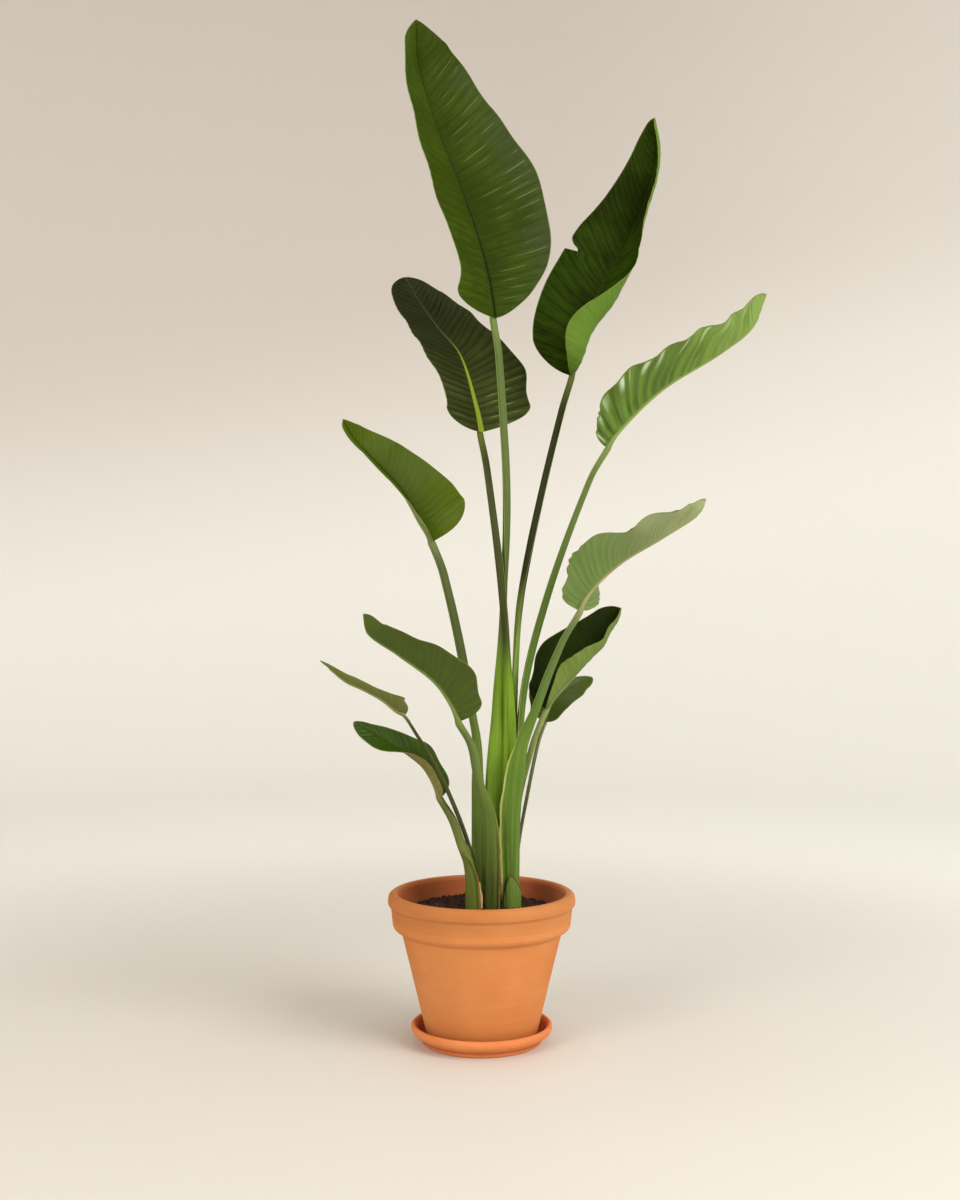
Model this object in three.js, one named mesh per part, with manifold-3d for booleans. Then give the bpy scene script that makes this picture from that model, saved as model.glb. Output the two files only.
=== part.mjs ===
// A potted bird of paradise: eleven leaves on long stalks, in a clay pot on a clay saucer.
// Millimetres, +Z up. The origin is the middle of the saucer's underside, and -Y is the front.
import * as THREE from "three";
import { mergeVertices } from "three/addons/utils/BufferGeometryUtils.js";
import Module from "manifold-3d";

const wasm = await Module();
wasm.setup();

// Clearance between pieces that touch, and how near two points are the same one
const GAP = 0.35;
const SAME_POINT = 1e-3;

// Saucer
const SAUCER_R = 113;
const SAUCER_H = 30;
const SAUCER_FOOT_R = 96;
const SAUCER_WALL = 8;
const SAUCER_FLOOR = 8;

// Pot
const POT_BASE_Z = SAUCER_FLOOR + GAP;
const POT_FOOT_R = 88;
const POT_SHOULDER_R = 128;
const POT_SHOULDER_Z = 176;
const POT_COLLAR_R = 141.5;
const POT_COLLAR_Z = 188;
const POT_BEAD_R = 150;
const POT_BEAD_Z = 219;
const POT_RIM_Z = 240;
const POT_LIP_R = 133;
const POT_WALL = 11;
const POT_FLOOR = 12;
const DRAIN_R = 13;
const TURNS = 44;

// Soil: a low crumbly mound
const SOIL_EDGE_Z = 207;
const SOIL_RISE = 9;
const SOIL_RINGS = 6;
const CRUMB_H = 2;

// Leaves
const BLADE_THICK = 1.2;
const BLADE_STEPS = 18;
const HALF_STEPS = 4;
const END_CROWDING = 0.09;
const LEAST_HALF = 1.6;
const STALK_SIDES = 8;
const STALK_STEPS = 11;
const RIB_STEPS = 7;
const RIB_END = 0.78;
const RIB_TIP_R = 0.9;
const RIB_TAPER = 1.2;
const RISE_TO_BASE = 60;
const CHANNEL = 0.22;
const SPINE_SAMPLES = 200;
const SPINE_STEP = 1e-3;
const TEAR_MARGIN = 1.4;

// Remnants of old leaves
const SHEATH_COLUMNS = 8;
const SHEATH_ROWS = 4;

// Colour and sheen of each stuff that the pieces are made of
function finish(color, roughness) {
  return new THREE.MeshStandardMaterial({ color, roughness, metalness: 0 });
}
const clay = finish(0xd38148, 0.82);
const saucerClay = finish(0xce7441, 0.82);
const earth = finish(0x3a261c, 1);
const darkBlade = finish(0x3e4f1c, 0.38);
const paleBlade = finish(0x5c7930, 0.5);
const darkStalk = finish(0x40502a, 0.5);
const greenStalk = finish(0x66892f, 0.5);
const dryHusk = finish(0x9c7a4c, 0.85);

// The eleven leaves, from the tallest down. A stalk runs from below the soil to the blade's base, and the
// midrib runs on from there to the tip. Lists of widths and angles are spread evenly from base to tip:
// how wide each half of the blade is, how far it lifts from flat, and how much more it curls by its edge.
// A girth row is a share of the stalk's length, the width across and the depth there.
const LEAVES = [
  {
    name: "leaf_01",
    stalk: [[15, 8, 165], [21, 8, 418], [33, 8, 642], [40, 6, 867], [32, 6, 1026], [21, 8, 1157]],
    rib: [[6, 14, 1246], [-28, 28, 1357], [-73, 46, 1473], [-104, 62, 1583], [-107, 75, 1655]],
    girth: [[0, 24, 20], [0.25, 28, 18], [0.38, 19, 14], [0.52, 12.5, 12], [1, 11.5, 11]],
    face: [[0.5, -1, 0.1]],
    left: { wide: [150, 100, 111, 112, 97, 79, 64, 43, 34], lift: [38], curl: [0] },
    right: { wide: [40, 98, 117, 121, 108, 93, 77, 57, 36], lift: [30], curl: [16] },
    round: [0.06, 0.1],
    wave: { high: 2, count: 5, shift: 0 },
    blade: darkBlade,
    petiole: greenStalk,
  },
  {
    name: "leaf_02",
    stalk: [[35, 3, 165], [44, 4, 418], [42, -6, 563], [34, -8, 707], [15, 14, 867], [-1, 42, 978]],
    rib: [[-10, 64, 1024], [-37, 112, 1114], [-74, 150, 1164], [-109, 182, 1217], [-125, 205, 1248],
      [-133, 228, 1264]],
    girth: [[0, 18, 17], [0.25, 14, 13], [1, 10.5, 10]],
    face: [[0.3, -1, 0.5], [0.2, -0.9, 0.8], [0, -0.6, 1]],
    left: { wide: [75, 62, 66, 81, 80, 65, 53, 40, 30], lift: [25], curl: [0] },
    right: { wide: [92, 86, 94, 76, 62, 61, 51, 38, 30], lift: [25], curl: [0] },
    round: [0.08, 0.16],
    wave: { high: 1.5, count: 5, shift: 0 },
    blade: darkBlade,
    petiole: darkStalk,
  },
  {
    name: "leaf_03",
    stalk: [[46, 24, 165], [50, 25, 415], [54, 17, 610], [62, 14, 706], [94, 16, 867], [144, 30, 1068]],
    rib: [[167, 38, 1149], [202, 55, 1228], [241, 74, 1298], [270, 92, 1369], [289, 108, 1443],
      [288, 118, 1507]],
    girth: [[0, 14, 13], [0.4, 12, 12], [1, 10, 10]],
    face: [[-0.35, -1, 0.1]],
    left: { wide: [60, 80, 86, 83, 80, 66, 52, 38, 20], lift: [20], curl: [0] },
    right: {
      wide: [80, 104, 108, 92, 82, 68, 54, 40, 22],
      lift: [24, 28, 12, 28, 27, 32, 29, 38, 45],
      curl: [120, 120, 100, 40, 72, 90, 90, 90, 90],
    },
    round: [0.09, 0.1],
    tear: { side: "left", at: 0.42, deep: 0.45, half: 0.04 },
    blade: darkBlade,
    petiole: darkStalk,
  },
  {
    name: "leaf_04",
    stalk: [[52, 12, 165], [57, 11, 416], [67, 10, 562], [103, 0, 707], [159, -10, 866], [196, -18, 950]],
    rib: [[225, -26, 985], [284, -40, 1039], [373, -58, 1093], [419, -66, 1130], [441, -70, 1181]],
    girth: [[0, 15, 13], [0.35, 14, 13], [1, 12, 11]],
    face: [[-0.6, 0.3, 0.7]],
    left: { wide: [60, 72, 78, 72, 64, 60, 50, 40, 26], lift: [36], curl: [0] },
    right: { wide: [38, 58, 69, 62, 58, 58, 46, 39, 22], lift: [36], curl: [0] },
    round: [0.09, 0.1],
    wave: { high: 3, count: 6, shift: 0 },
    blade: paleBlade,
    petiole: greenStalk,
  },
  {
    name: "leaf_05",
    stalk: [[45, -13, 165], [45, -12, 364], [53, -18, 421], [64, -28, 481], [85, -40, 536], [108, -55, 600],
      [148, -80, 693]],
    rib: [[167, -90, 723], [211, -108, 765], [273, -132, 803], [328, -150, 841], [336, -152, 860]],
    girth: [[0, 21, 14], [0.12, 23, 14], [0.36, 34, 15], [0.47, 31, 14], [0.58, 21, 13], [0.7, 14, 13],
      [1, 13, 12]],
    face: [[-0.6, 0.3, 0.7]],
    left: { wide: [55, 60, 66, 62, 54, 46, 40, 30, 18], lift: [10, 50, 50, 50, 50], curl: [0] },
    right: { wide: [45, 50, 72, 72, 47, 50, 41, 27, 18], lift: [38], curl: [0] },
    round: [0.09, 0.1],
    wave: { high: 3, count: 4, shift: 1 },
    blade: paleBlade,
    petiole: greenStalk,
  },
  {
    name: "leaf_06",
    stalk: [[-8, 4, 165], [-8, 6, 408], [-8, 5, 482], [-14, 6, 522], [-30, 10, 609], [-55, 16, 722],
      [-78, 24, 801]],
    rib: [[-99, 36, 832], [-131, 60, 885], [-177, 88, 935], [-217, 112, 979], [-232, 126, 1007]],
    girth: [[0, 18, 18], [0.35, 17, 15], [0.6, 14.5, 13], [1, 13, 12]],
    face: [[0.6, -1, 0.3]],
    left: {
      wide: [70, 75, 76, 68, 60, 50, 38, 26, 14],
      lift: [57, 57, 51, 48, 48, 48, 45, 42, 36],
      curl: [0],
    },
    right: { wide: [80, 79, 76, 64, 55, 48, 36, 24, 14], lift: [40], curl: [0] },
    round: [0.09, 0.1],
    blade: paleBlade,
    petiole: greenStalk,
  },
  {
    name: "leaf_07",
    stalk: [[46, 38, 165], [55, 38, 330], [62, 35, 390], [74, 33, 439], [88, 34, 487], [104, 36, 529]],
    rib: [[120, 40, 550], [153, 50, 584], [178, 58, 611], [204, 68, 639], [225, 78, 661], [231, 88, 694]],
    girth: [[0, 10, 9], [1, 9, 8]],
    face: [[-0.4, -1, 0.3]],
    left: { wide: [45, 50, 69, 82, 76, 65, 47, 38, 20], lift: [15], curl: [0] },
    right: {
      wide: [45, 50, 69, 75, 70, 60, 47, 35, 20],
      lift: [42, 54, 63, 57, 51, 39, 42, 36, 39],
      curl: [60],
    },
    round: [0.09, 0.1],
    blade: darkBlade,
    petiole: greenStalk,
  },
  {
    name: "leaf_08",
    stalk: [[48, 46, 165], [60, 50, 304], [75, 54, 387], [94, 60, 476], [105, 66, 506]],
    rib: [[117, 76, 534], [138, 96, 556], [160, 112, 569], [186, 124, 574]],
    girth: [[0, 8, 7], [0.4, 5.5, 5.5], [1, 5, 5]],
    face: [[-0.2, -1, 0.3]],
    left: { wide: [30, 32, 44, 40, 26, 14, 9, 6, 4], lift: [15], curl: [0] },
    right: { wide: [16, 22, 27, 29, 30, 30, 25, 18, 11], lift: [15], curl: [0] },
    round: [0.09, 0.1],
    blade: paleBlade,
    petiole: greenStalk,
  },
  {
    name: "leaf_09",
    stalk: [[16, -32, 165], [17, -32, 304], [9, -34, 374], [-3, -36, 414], [-18, -42, 487], [-32, -48, 518]],
    rib: [[-54, -58, 557], [-75, -66, 583], [-129, -88, 624], [-175, -108, 659], [-181, -112, 687]],
    girth: [[0, 24, 18], [0.37, 27, 17], [0.57, 22, 15], [0.75, 15, 13], [1, 11.5, 11]],
    face: [[0.5, 0.3, 0.8]],
    left: { wide: [50, 51, 68, 62, 59, 47, 42, 35, 25], lift: [36], curl: [0] },
    right: { wide: [50, 56, 64, 60, 54, 44, 38, 32, 24], lift: [36], curl: [0] },
    round: [0.09, 0.1],
    blade: paleBlade,
    petiole: greenStalk,
  },
  {
    name: "leaf_10",
    stalk: [[-2, -27, 165], [-8, -26, 286], [-21.5, -26, 325], [-34, -34, 359], [-51, -46, 402],
      [-68, -60, 440], [-98, -78, 496], [-118, -86, 531]],
    rib: [[-130, -88, 536], [-153, -92, 554], [-181, -98, 570], [-208, -104, 583], [-231, -108, 602],
      [-247, -110, 615]],
    girth: [[0, 8, 8], [0.4, 7.5, 7.5], [1, 5, 5]],
    face: [[0.5, 0.3, 0.8]],
    left: { wide: [22, 24, 16, 12, 12, 13, 10, 6, 3], lift: [50], curl: [50] },
    right: { wide: [18, 22, 15, 12, 12, 13, 10, 6, 3], lift: [60], curl: [50] },
    round: [0.09, 0.1],
    blade: paleBlade,
    petiole: darkStalk,
  },
  {
    name: "leaf_11",
    stalk: [[-18, -33, 165], [-21, -33, 286], [-34, -34, 323], [-47, -37, 363], [-64, -40, 397]],
    rib: [[-80, -46, 428], [-98, -54, 457], [-124, -63, 483], [-158, -74, 504], [-198, -86, 519]],
    girth: [[0, 19, 16], [0.45, 14, 13], [1, 12, 11]],
    face: [[0.2, -0.7, 0.7]],
    left: {
      wide: [30, 34, 36, 36, 34, 32, 28, 20, 10],
      lift: [0, 4, 20, 30, 33, 18, 0, -12, -18],
      curl: [100, 80, 42, 10, 0, 0, 0, 0, 0],
    },
    right: { wide: [18, 24, 25, 32, 27, 23, 18, 11, 7], lift: [30], curl: [0] },
    round: [0.09, 0.1],
    blade: darkBlade,
    petiole: greenStalk,
  },
];

// What is left of two old leaves: a stub cut off at the right front, and a dry sheath beside leaf 11.
// Each is a piece of a sleeve, bent round a centre and standing in the soil, with a ragged top.
const SHEATHS = [
  {
    name: "cut_sheath",
    centre: [46, -14],
    radii: [16, 13],
    turn: [190, 350],
    foot: 170,
    top: [262, 247],
    thick: 2.2,
    ragged: 2.5,
    colour: greenStalk,
  },
  {
    name: "dry_sheath",
    centre: [-16, -32],
    radii: [17.5, 12.5],
    turn: [312, 350],
    foot: 175,
    top: [262, 236],
    thick: 0.8,
    ragged: 3,
    colour: dryHusk,
  },
];
// A short list of values spread over 0 to 1, read smoothly between them.
function smooth(values, t) {
  const last = values.length - 1;
  if (last === 0) return values[0];
  const x = THREE.MathUtils.clamp(t, 0, 1) * last;
  const i = Math.min(Math.floor(x), last - 1);
  const f = x - i;
  const a = values[Math.max(i - 1, 0)];
  const b = values[i];
  const c = values[i + 1];
  const d = values[Math.min(i + 2, last)];
  return b + 0.5 * f * (c - a + f * (2 * a - 5 * b + 4 * c - d + f * (3 * (b - c) + d - a)));
}

// Quarter-ellipse ends, so that a blade's base and tip are round.
function rounding(leaf, t) {
  const [base, tip] = leaf.round;
  const fromBase = t < base ? 1 - t / base : 0;
  const fromTip = t > 1 - tip ? (t - 1 + tip) / tip : 0;
  return Math.sqrt(Math.max(1 - fromBase ** 2, 0)) * Math.sqrt(Math.max(1 - fromTip ** 2, 0));
}

// The line that a leaf grows along, as places by length from the blade's base.
function spineOf(leaf) {
  const points = [...leaf.stalk, ...leaf.rib].map((p) => new THREE.Vector3(...p));
  const curve = new THREE.CatmullRomCurve3(points, false, "centripetal");
  const baseU = (leaf.stalk.length - 1) / (points.length - 1);
  function tableOf(from, to) {
    const table = [{ u: from, s: 0 }];
    let before = curve.getPoint(from);
    for (let i = 1; i <= SPINE_SAMPLES; i++) {
      const u = from + ((to - from) * i) / SPINE_SAMPLES;
      const here = curve.getPoint(u);
      table.push({ u, s: table[i - 1].s + here.distanceTo(before) });
      before = here;
    }
    return table;
  }
  function uAt(table, share) {
    const s = THREE.MathUtils.clamp(share, 0, 1) * table[SPINE_SAMPLES].s;
    let i = 1;
    while (i < SPINE_SAMPLES && table[i].s < s) i++;
    const a = table[i - 1];
    const b = table[i];
    return a.u + ((b.u - a.u) * (s - a.s)) / (b.s - a.s);
  }
  const stalkTable = tableOf(0, baseU);
  const ribTable = tableOf(baseU, 1);
  function frameAt(u, facing) {
    const place = curve.getPoint(u);
    const ahead = curve.getPoint(Math.min(u + SPINE_STEP, 1));
    const behind = curve.getPoint(Math.max(u - SPINE_STEP, 0));
    const along = ahead.sub(behind).normalize();
    const up = facing.clone().addScaledVector(along, -facing.dot(along)).normalize();
    const side = new THREE.Vector3().crossVectors(along, up);
    return { place, along, up, side };
  }
  function facingAt(t) {
    return new THREE.Vector3(...[0, 1, 2].map((k) => smooth(leaf.face.map((f) => f[k]), t)));
  }
  return {
    stalkLength: stalkTable[SPINE_SAMPLES].s,
    onRib: (t) => frameAt(uAt(ribTable, t), facingAt(t)),
    onStalk: (t) => {
      const atBase = facingAt(0);
      const atSoil = new THREE.Vector3(0, Math.sign(atBase.y), 0);
      return frameAt(uAt(stalkTable, t), atSoil.lerp(atBase, t ** 2));
    },
  };
}

// How wide one half of a blade is at t.
function halfWidth(leaf, sideName, t) {
  let wide = smooth(leaf[sideName].wide, t) * rounding(leaf, t);
  const tear = leaf.tear;
  if (tear && tear.side === sideName) {
    wide *= 1 - tear.deep * Math.max(0, 1 - Math.abs(t - tear.at) / tear.half);
  }
  return Math.max(wide, LEAST_HALF);
}

// A point of the blade's middle surface: t from base to tip, v from the midrib (0) to the edge (1).
function bladePoint(leaf, spine, sideName, t, v) {
  const { place, up, side } = spine.onRib(t);
  const half = leaf[sideName];
  const lift = THREE.MathUtils.degToRad(smooth(half.lift, t));
  const curl = THREE.MathUtils.degToRad(smooth(half.curl, t)) || 1e-4;
  const out = (Math.sin(lift + curl * v) - Math.sin(lift)) / curl;
  let rise = (Math.cos(lift) - Math.cos(lift + curl * v)) / curl;
  const wide = halfWidth(leaf, sideName, t);
  const hand = sideName === "left" ? -1 : 1;
  if (leaf.wave) {
    const { high, count, shift } = leaf.wave;
    const turn = 2 * Math.PI * count * t + shift + (hand < 0 ? 0 : 2);
    rise += (high * v * v * Math.sin(turn) * rounding(leaf, t)) / wide;
  }
  return place.addScaledVector(side, hand * wide * out).addScaledVector(up, wide * rise);
}

// Stations from base to tip, closer at the round ends, with one on each side of a tear and one in it.
function stationsOf(leaf) {
  const list = [];
  for (let i = 0; i <= BLADE_STEPS; i++) {
    const x = i / BLADE_STEPS;
    list.push(x - END_CROWDING * Math.sin(2 * Math.PI * x));
  }
  if (!leaf.tear) return list;
  const { at, half } = leaf.tear;
  const kept = list.filter((t) => Math.abs(t - at) > half * TEAR_MARGIN);
  return [...kept, at - half, at, at + half].sort((a, b) => a - b);
}

// A closed slab whose two faces follow the same grid of points, split into triangles alike.
function slab(grid, thick) {
  const rows = grid.length;
  const columns = grid[0].length;
  const normals = grid.map((row, i) => row.map((_, j) => {
    const down = grid[Math.max(i - 1, 0)][j];
    const up = grid[Math.min(i + 1, rows - 1)][j];
    const left = row[Math.max(j - 1, 0)];
    const right = row[Math.min(j + 1, columns - 1)];
    return new THREE.Vector3().crossVectors(right.clone().sub(left), up.clone().sub(down)).normalize();
  }));
  const position = [];
  for (const hand of [0.5, -0.5]) {
    grid.forEach((row, i) => row.forEach((point, j) => {
      position.push(...point.clone().addScaledVector(normals[i][j], hand * thick).toArray());
    }));
  }
  const below = rows * columns;
  const at = (i, j) => i * columns + j;
  const index = [];
  for (let i = 0; i < rows - 1; i++) {
    for (let j = 0; j < columns - 1; j++) {
      const [a, b, c, d] = [at(i, j), at(i, j + 1), at(i + 1, j + 1), at(i + 1, j)];
      index.push(a, b, c, a, c, d);
      index.push(below + a, below + c, below + b, below + a, below + d, below + c);
    }
  }
  const rim = [];
  for (let j = 0; j < columns - 1; j++) rim.push([at(0, j), at(0, j + 1)]);
  for (let i = 0; i < rows - 1; i++) rim.push([at(i, columns - 1), at(i + 1, columns - 1)]);
  for (let j = columns - 1; j > 0; j--) rim.push([at(rows - 1, j), at(rows - 1, j - 1)]);
  for (let i = rows - 1; i > 0; i--) rim.push([at(i, 0), at(i - 1, 0)]);
  for (const [a, b] of rim) index.push(a, below + a, below + b, a, below + b, b);
  const geometry = new THREE.BufferGeometry();
  geometry.setAttribute("position", new THREE.Float32BufferAttribute(position, 3));
  geometry.setIndex(index);
  return geometry;
}

// A blade: both halves in one grid, from the left edge over the midrib to the right edge.
function bladeOf(leaf, spine) {
  const grid = stationsOf(leaf).map((t) => {
    const row = [];
    for (let j = HALF_STEPS; j > 0; j--) row.push(bladePoint(leaf, spine, "left", t, j / HALF_STEPS));
    for (let j = 0; j <= HALF_STEPS; j++) row.push(bladePoint(leaf, spine, "right", t, j / HALF_STEPS));
    return row;
  });
  return slab(grid, BLADE_THICK);
}

// Width across and depth of a stalk at a share of its length.
function girthAt(leaf, share) {
  const rows = leaf.girth;
  let i = 1;
  while (i < rows.length - 1 && rows[i][0] < share) i++;
  const [s0, across0, deep0] = rows[i - 1];
  const [s1, across1, deep1] = rows[i];
  const f = THREE.MathUtils.smoothstep(share, s0, s1);
  return [across0 + (across1 - across0) * f, deep0 + (deep1 - deep0) * f];
}

// A stalk that runs on under the blade as its tapering midrib: a cylinder laid along the spine, with a
// shallow channel on its upper side. grow makes it stouter and deeper, for the hole that it stands in.
function stalkOf(leaf, spine, grow = 0) {
  const rings = [];
  const [acrossTop, deepTop] = girthAt(leaf, 1);
  for (let i = 0; i <= STALK_STEPS; i++) {
    const share = i / STALK_STEPS;
    const toBase = (1 - share) * spine.stalkLength;
    rings.push({
      frame: spine.onStalk(share),
      girth: girthAt(leaf, share),
      under: 1 - THREE.MathUtils.smoothstep(toBase, 0, RISE_TO_BASE),
    });
  }
  for (let i = 1; i <= RIB_STEPS; i++) {
    const t = (i / RIB_STEPS) * RIB_END;
    const taper = (1 - i / RIB_STEPS) ** RIB_TAPER;
    const girth = [acrossTop, deepTop].map((g) => 2 * RIB_TIP_R + (g - 2 * RIB_TIP_R) * taper);
    rings.push({ frame: spine.onRib(t), girth, under: 1 });
  }
  const geometry = new THREE.CylinderGeometry(1, 1, 1, STALK_SIDES, rings.length - 1);
  const position = geometry.attributes.position;
  for (let i = 0; i < position.count; i++) {
    const ring = rings[Math.round((position.getY(i) + 0.5) * (rings.length - 1))];
    const [across, deep] = ring.girth;
    const { place, along, up, side } = ring.frame;
    const x = position.getX(i);
    const z = position.getZ(i);
    const inward = z > 0.99 ? 1 - CHANNEL : 1;
    const point = place.clone()
      .addScaledVector(along, ring === rings[0] ? -grow : 0)
      .addScaledVector(up, -ring.under * (deep / 2 + BLADE_THICK / 2 + GAP))
      .addScaledVector(side, x * (across / 2 + grow))
      .addScaledVector(up, z * inward * (deep / 2 + grow));
    position.setXYZ(i, point.x, point.y, point.z);
  }
  return geometry;
}

// A remnant of a sheath: part of an elliptical sleeve whose top edge slants and is torn.
function sheathOf({ centre, radii, turn, foot, top, thick, ragged }) {
  const grid = [];
  for (let i = 0; i <= SHEATH_ROWS; i++) {
    const row = [];
    for (let j = 0; j <= SHEATH_COLUMNS; j++) {
      const f = j / SHEATH_COLUMNS;
      const angle = THREE.MathUtils.degToRad(turn[0] + (turn[1] - turn[0]) * f);
      const head = top[0] + (top[1] - top[0]) * f + ragged * Math.sin(7 * f + 3 * f * f);
      const z = foot + ((head - foot) * i) / SHEATH_ROWS;
      const x = centre[0] + radii[0] * Math.cos(angle);
      const y = centre[1] + radii[1] * Math.sin(angle);
      row.push(new THREE.Vector3(x, y, z));
    }
    grid.push(row);
  }
  return slab(grid, thick);
}

// A geometry as a solid that can be cut, and back.
function solidOf(geometry) {
  const bare = geometry.clone();
  bare.deleteAttribute("normal");
  bare.deleteAttribute("uv");
  const merged = mergeVertices(bare, SAME_POINT);
  return new wasm.Manifold(new wasm.Mesh({
    numProp: 3,
    vertProperties: new Float32Array(merged.attributes.position.array),
    triVerts: new Uint32Array(merged.index.array),
  }));
}

function geometryOf(solid) {
  const mesh = solid.getMesh();
  const geometry = new THREE.BufferGeometry();
  geometry.setAttribute("position", new THREE.BufferAttribute(new Float32Array(mesh.vertProperties), 3));
  geometry.setIndex(new THREE.BufferAttribute(new Uint32Array(mesh.triVerts), 1));
  geometry.computeVertexNormals();
  return geometry;
}

// Turns a list of [radius, height] about +Z.
function turned(profile) {
  const points = profile.map(([r, z]) => new THREE.Vector2(r, z));
  return new THREE.LatheGeometry(points, TURNS).rotateX(Math.PI / 2);
}

// The pot's inner wall at a height.
function potInside(z) {
  const low = POT_BASE_Z + POT_FLOOR;
  const f = (z - low) / (POT_BEAD_Z - low);
  const atFloor = POT_FOOT_R + 2 - POT_WALL;
  return atFloor + (POT_LIP_R - 3 - atFloor) * f;
}

function potGeometry() {
  const top = POT_BASE_Z + POT_FLOOR;
  const profile = [
    [DRAIN_R, POT_BASE_Z],
    [POT_FOOT_R - 2, POT_BASE_Z],
    [POT_FOOT_R, POT_BASE_Z + 2],
    [POT_SHOULDER_R, POT_SHOULDER_Z],
    [POT_SHOULDER_R + 3, POT_SHOULDER_Z + 2.5],
    [POT_COLLAR_R - 3, POT_COLLAR_Z - 3.5],
    [POT_COLLAR_R, POT_COLLAR_Z],
    [POT_BEAD_R - 5, POT_BEAD_Z - 1.5],
    [POT_BEAD_R - 2.5, POT_BEAD_Z + 1],
    [POT_BEAD_R, POT_BEAD_Z + 8],
    [POT_BEAD_R - 1, POT_RIM_Z - 6],
    [POT_BEAD_R - 6, POT_RIM_Z - 1],
    [POT_LIP_R + 6, POT_RIM_Z],
    [POT_LIP_R + 1, POT_RIM_Z - 2.5],
    [POT_LIP_R - 1.5, POT_RIM_Z - 9],
    [potInside(POT_BEAD_Z), POT_BEAD_Z],
    [potInside(top), top],
    [DRAIN_R, top],
    [DRAIN_R, POT_BASE_Z],
  ];
  return turned(profile);
}

function saucerGeometry() {
  const inner = SAUCER_R - SAUCER_WALL;
  const profile = [
    [0, 0],
    [SAUCER_FOOT_R - 3, 0],
    [SAUCER_FOOT_R, 3],
    [SAUCER_FOOT_R + 6, 7],
    [SAUCER_R - 2, SAUCER_H - 12],
    [SAUCER_R, SAUCER_H - 8],
    [SAUCER_R - 0.5, SAUCER_H - 2],
    [SAUCER_R - 3, SAUCER_H],
    [inner + 2, SAUCER_H - 0.5],
    [inner, SAUCER_H - 3],
    [SAUCER_FOOT_R, SAUCER_FLOOR + 4],
    [SAUCER_FOOT_R - 4, SAUCER_FLOOR],
    [0, SAUCER_FLOOR],
  ];
  return turned(profile);
}

// The soil fills the pot to a crumbly mound, with a plain hole for each stalk.
function soilGeometry(holes) {
  const bottom = POT_BASE_Z + POT_FLOOR + GAP;
  const edge = potInside(SOIL_EDGE_Z) - GAP;
  const profile = [[0, bottom], [potInside(bottom) - GAP, bottom], [edge, SOIL_EDGE_Z]];
  for (let i = SOIL_RINGS - 1; i >= 0; i--) {
    const share = i / SOIL_RINGS;
    profile.push([edge * share, SOIL_EDGE_Z + SOIL_RISE * (1 - share ** 2)]);
  }
  const geometry = turned(profile);
  const position = geometry.attributes.position;
  for (let i = 0; i < position.count; i++) {
    const [x, y, z] = [position.getX(i), position.getY(i), position.getZ(i)];
    const inside = Math.hypot(x, y) < edge - 1;
    if (z > SOIL_EDGE_Z - 1 && inside) {
      const crumb = Math.sin(x * 0.31 + 1) * Math.sin(y * 0.27) + Math.sin(x * 0.13 - y * 0.17);
      position.setZ(i, z + CRUMB_H * crumb);
    }
  }
  return geometryOf(holes.reduce((soil, hole) => soil.subtract(hole), solidOf(geometry)));
}

function piece(name, geometry, material) {
  const mesh = new THREE.Mesh(geometry, material);
  mesh.name = name;
  return mesh;
}

const plant = new THREE.Group();
const holes = [];
for (const leaf of LEAVES) {
  const spine = spineOf(leaf);
  plant.add(piece(leaf.name + "_blade", bladeOf(leaf, spine), leaf.blade));
  plant.add(piece(leaf.name + "_stalk", stalkOf(leaf, spine), leaf.petiole));
  holes.push(solidOf(stalkOf(leaf, spine, GAP)));
}

for (const sheath of SHEATHS) {
  plant.add(piece(sheath.name, sheathOf(sheath), sheath.colour));
  holes.push(solidOf(sheathOf({ ...sheath, thick: sheath.thick + 2 * GAP, foot: sheath.foot - GAP })));
}

const pottedPlant = new THREE.Group();
pottedPlant.add(piece("saucer", saucerGeometry(), saucerClay));
pottedPlant.add(piece("pot", potGeometry(), clay));
pottedPlant.add(piece("soil", soilGeometry(holes), earth));
pottedPlant.add(plant);

export default pottedPlant;
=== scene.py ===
# Potted bird of paradise: the looks of its leaves, stalks, soil, pot and saucer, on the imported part.
# Metres, +Z up, -Y is the front. Lists of a leaf's places and widths are in millimetres.
import math
import bpy
import numpy as np
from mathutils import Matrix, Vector


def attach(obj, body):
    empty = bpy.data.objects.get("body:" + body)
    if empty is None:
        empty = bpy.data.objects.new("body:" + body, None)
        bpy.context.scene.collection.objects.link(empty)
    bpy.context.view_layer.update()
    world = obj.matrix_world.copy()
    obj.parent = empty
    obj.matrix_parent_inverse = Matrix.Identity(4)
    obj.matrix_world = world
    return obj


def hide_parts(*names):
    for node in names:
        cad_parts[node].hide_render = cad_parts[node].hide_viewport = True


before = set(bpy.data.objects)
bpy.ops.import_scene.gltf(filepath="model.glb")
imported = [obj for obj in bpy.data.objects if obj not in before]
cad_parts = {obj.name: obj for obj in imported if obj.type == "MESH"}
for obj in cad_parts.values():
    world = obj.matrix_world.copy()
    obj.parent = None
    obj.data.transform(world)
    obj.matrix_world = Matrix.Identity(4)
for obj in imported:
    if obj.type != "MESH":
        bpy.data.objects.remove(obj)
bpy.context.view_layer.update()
mm = 0.001
print("frame loaded:", len(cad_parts), "nodes")


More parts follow.
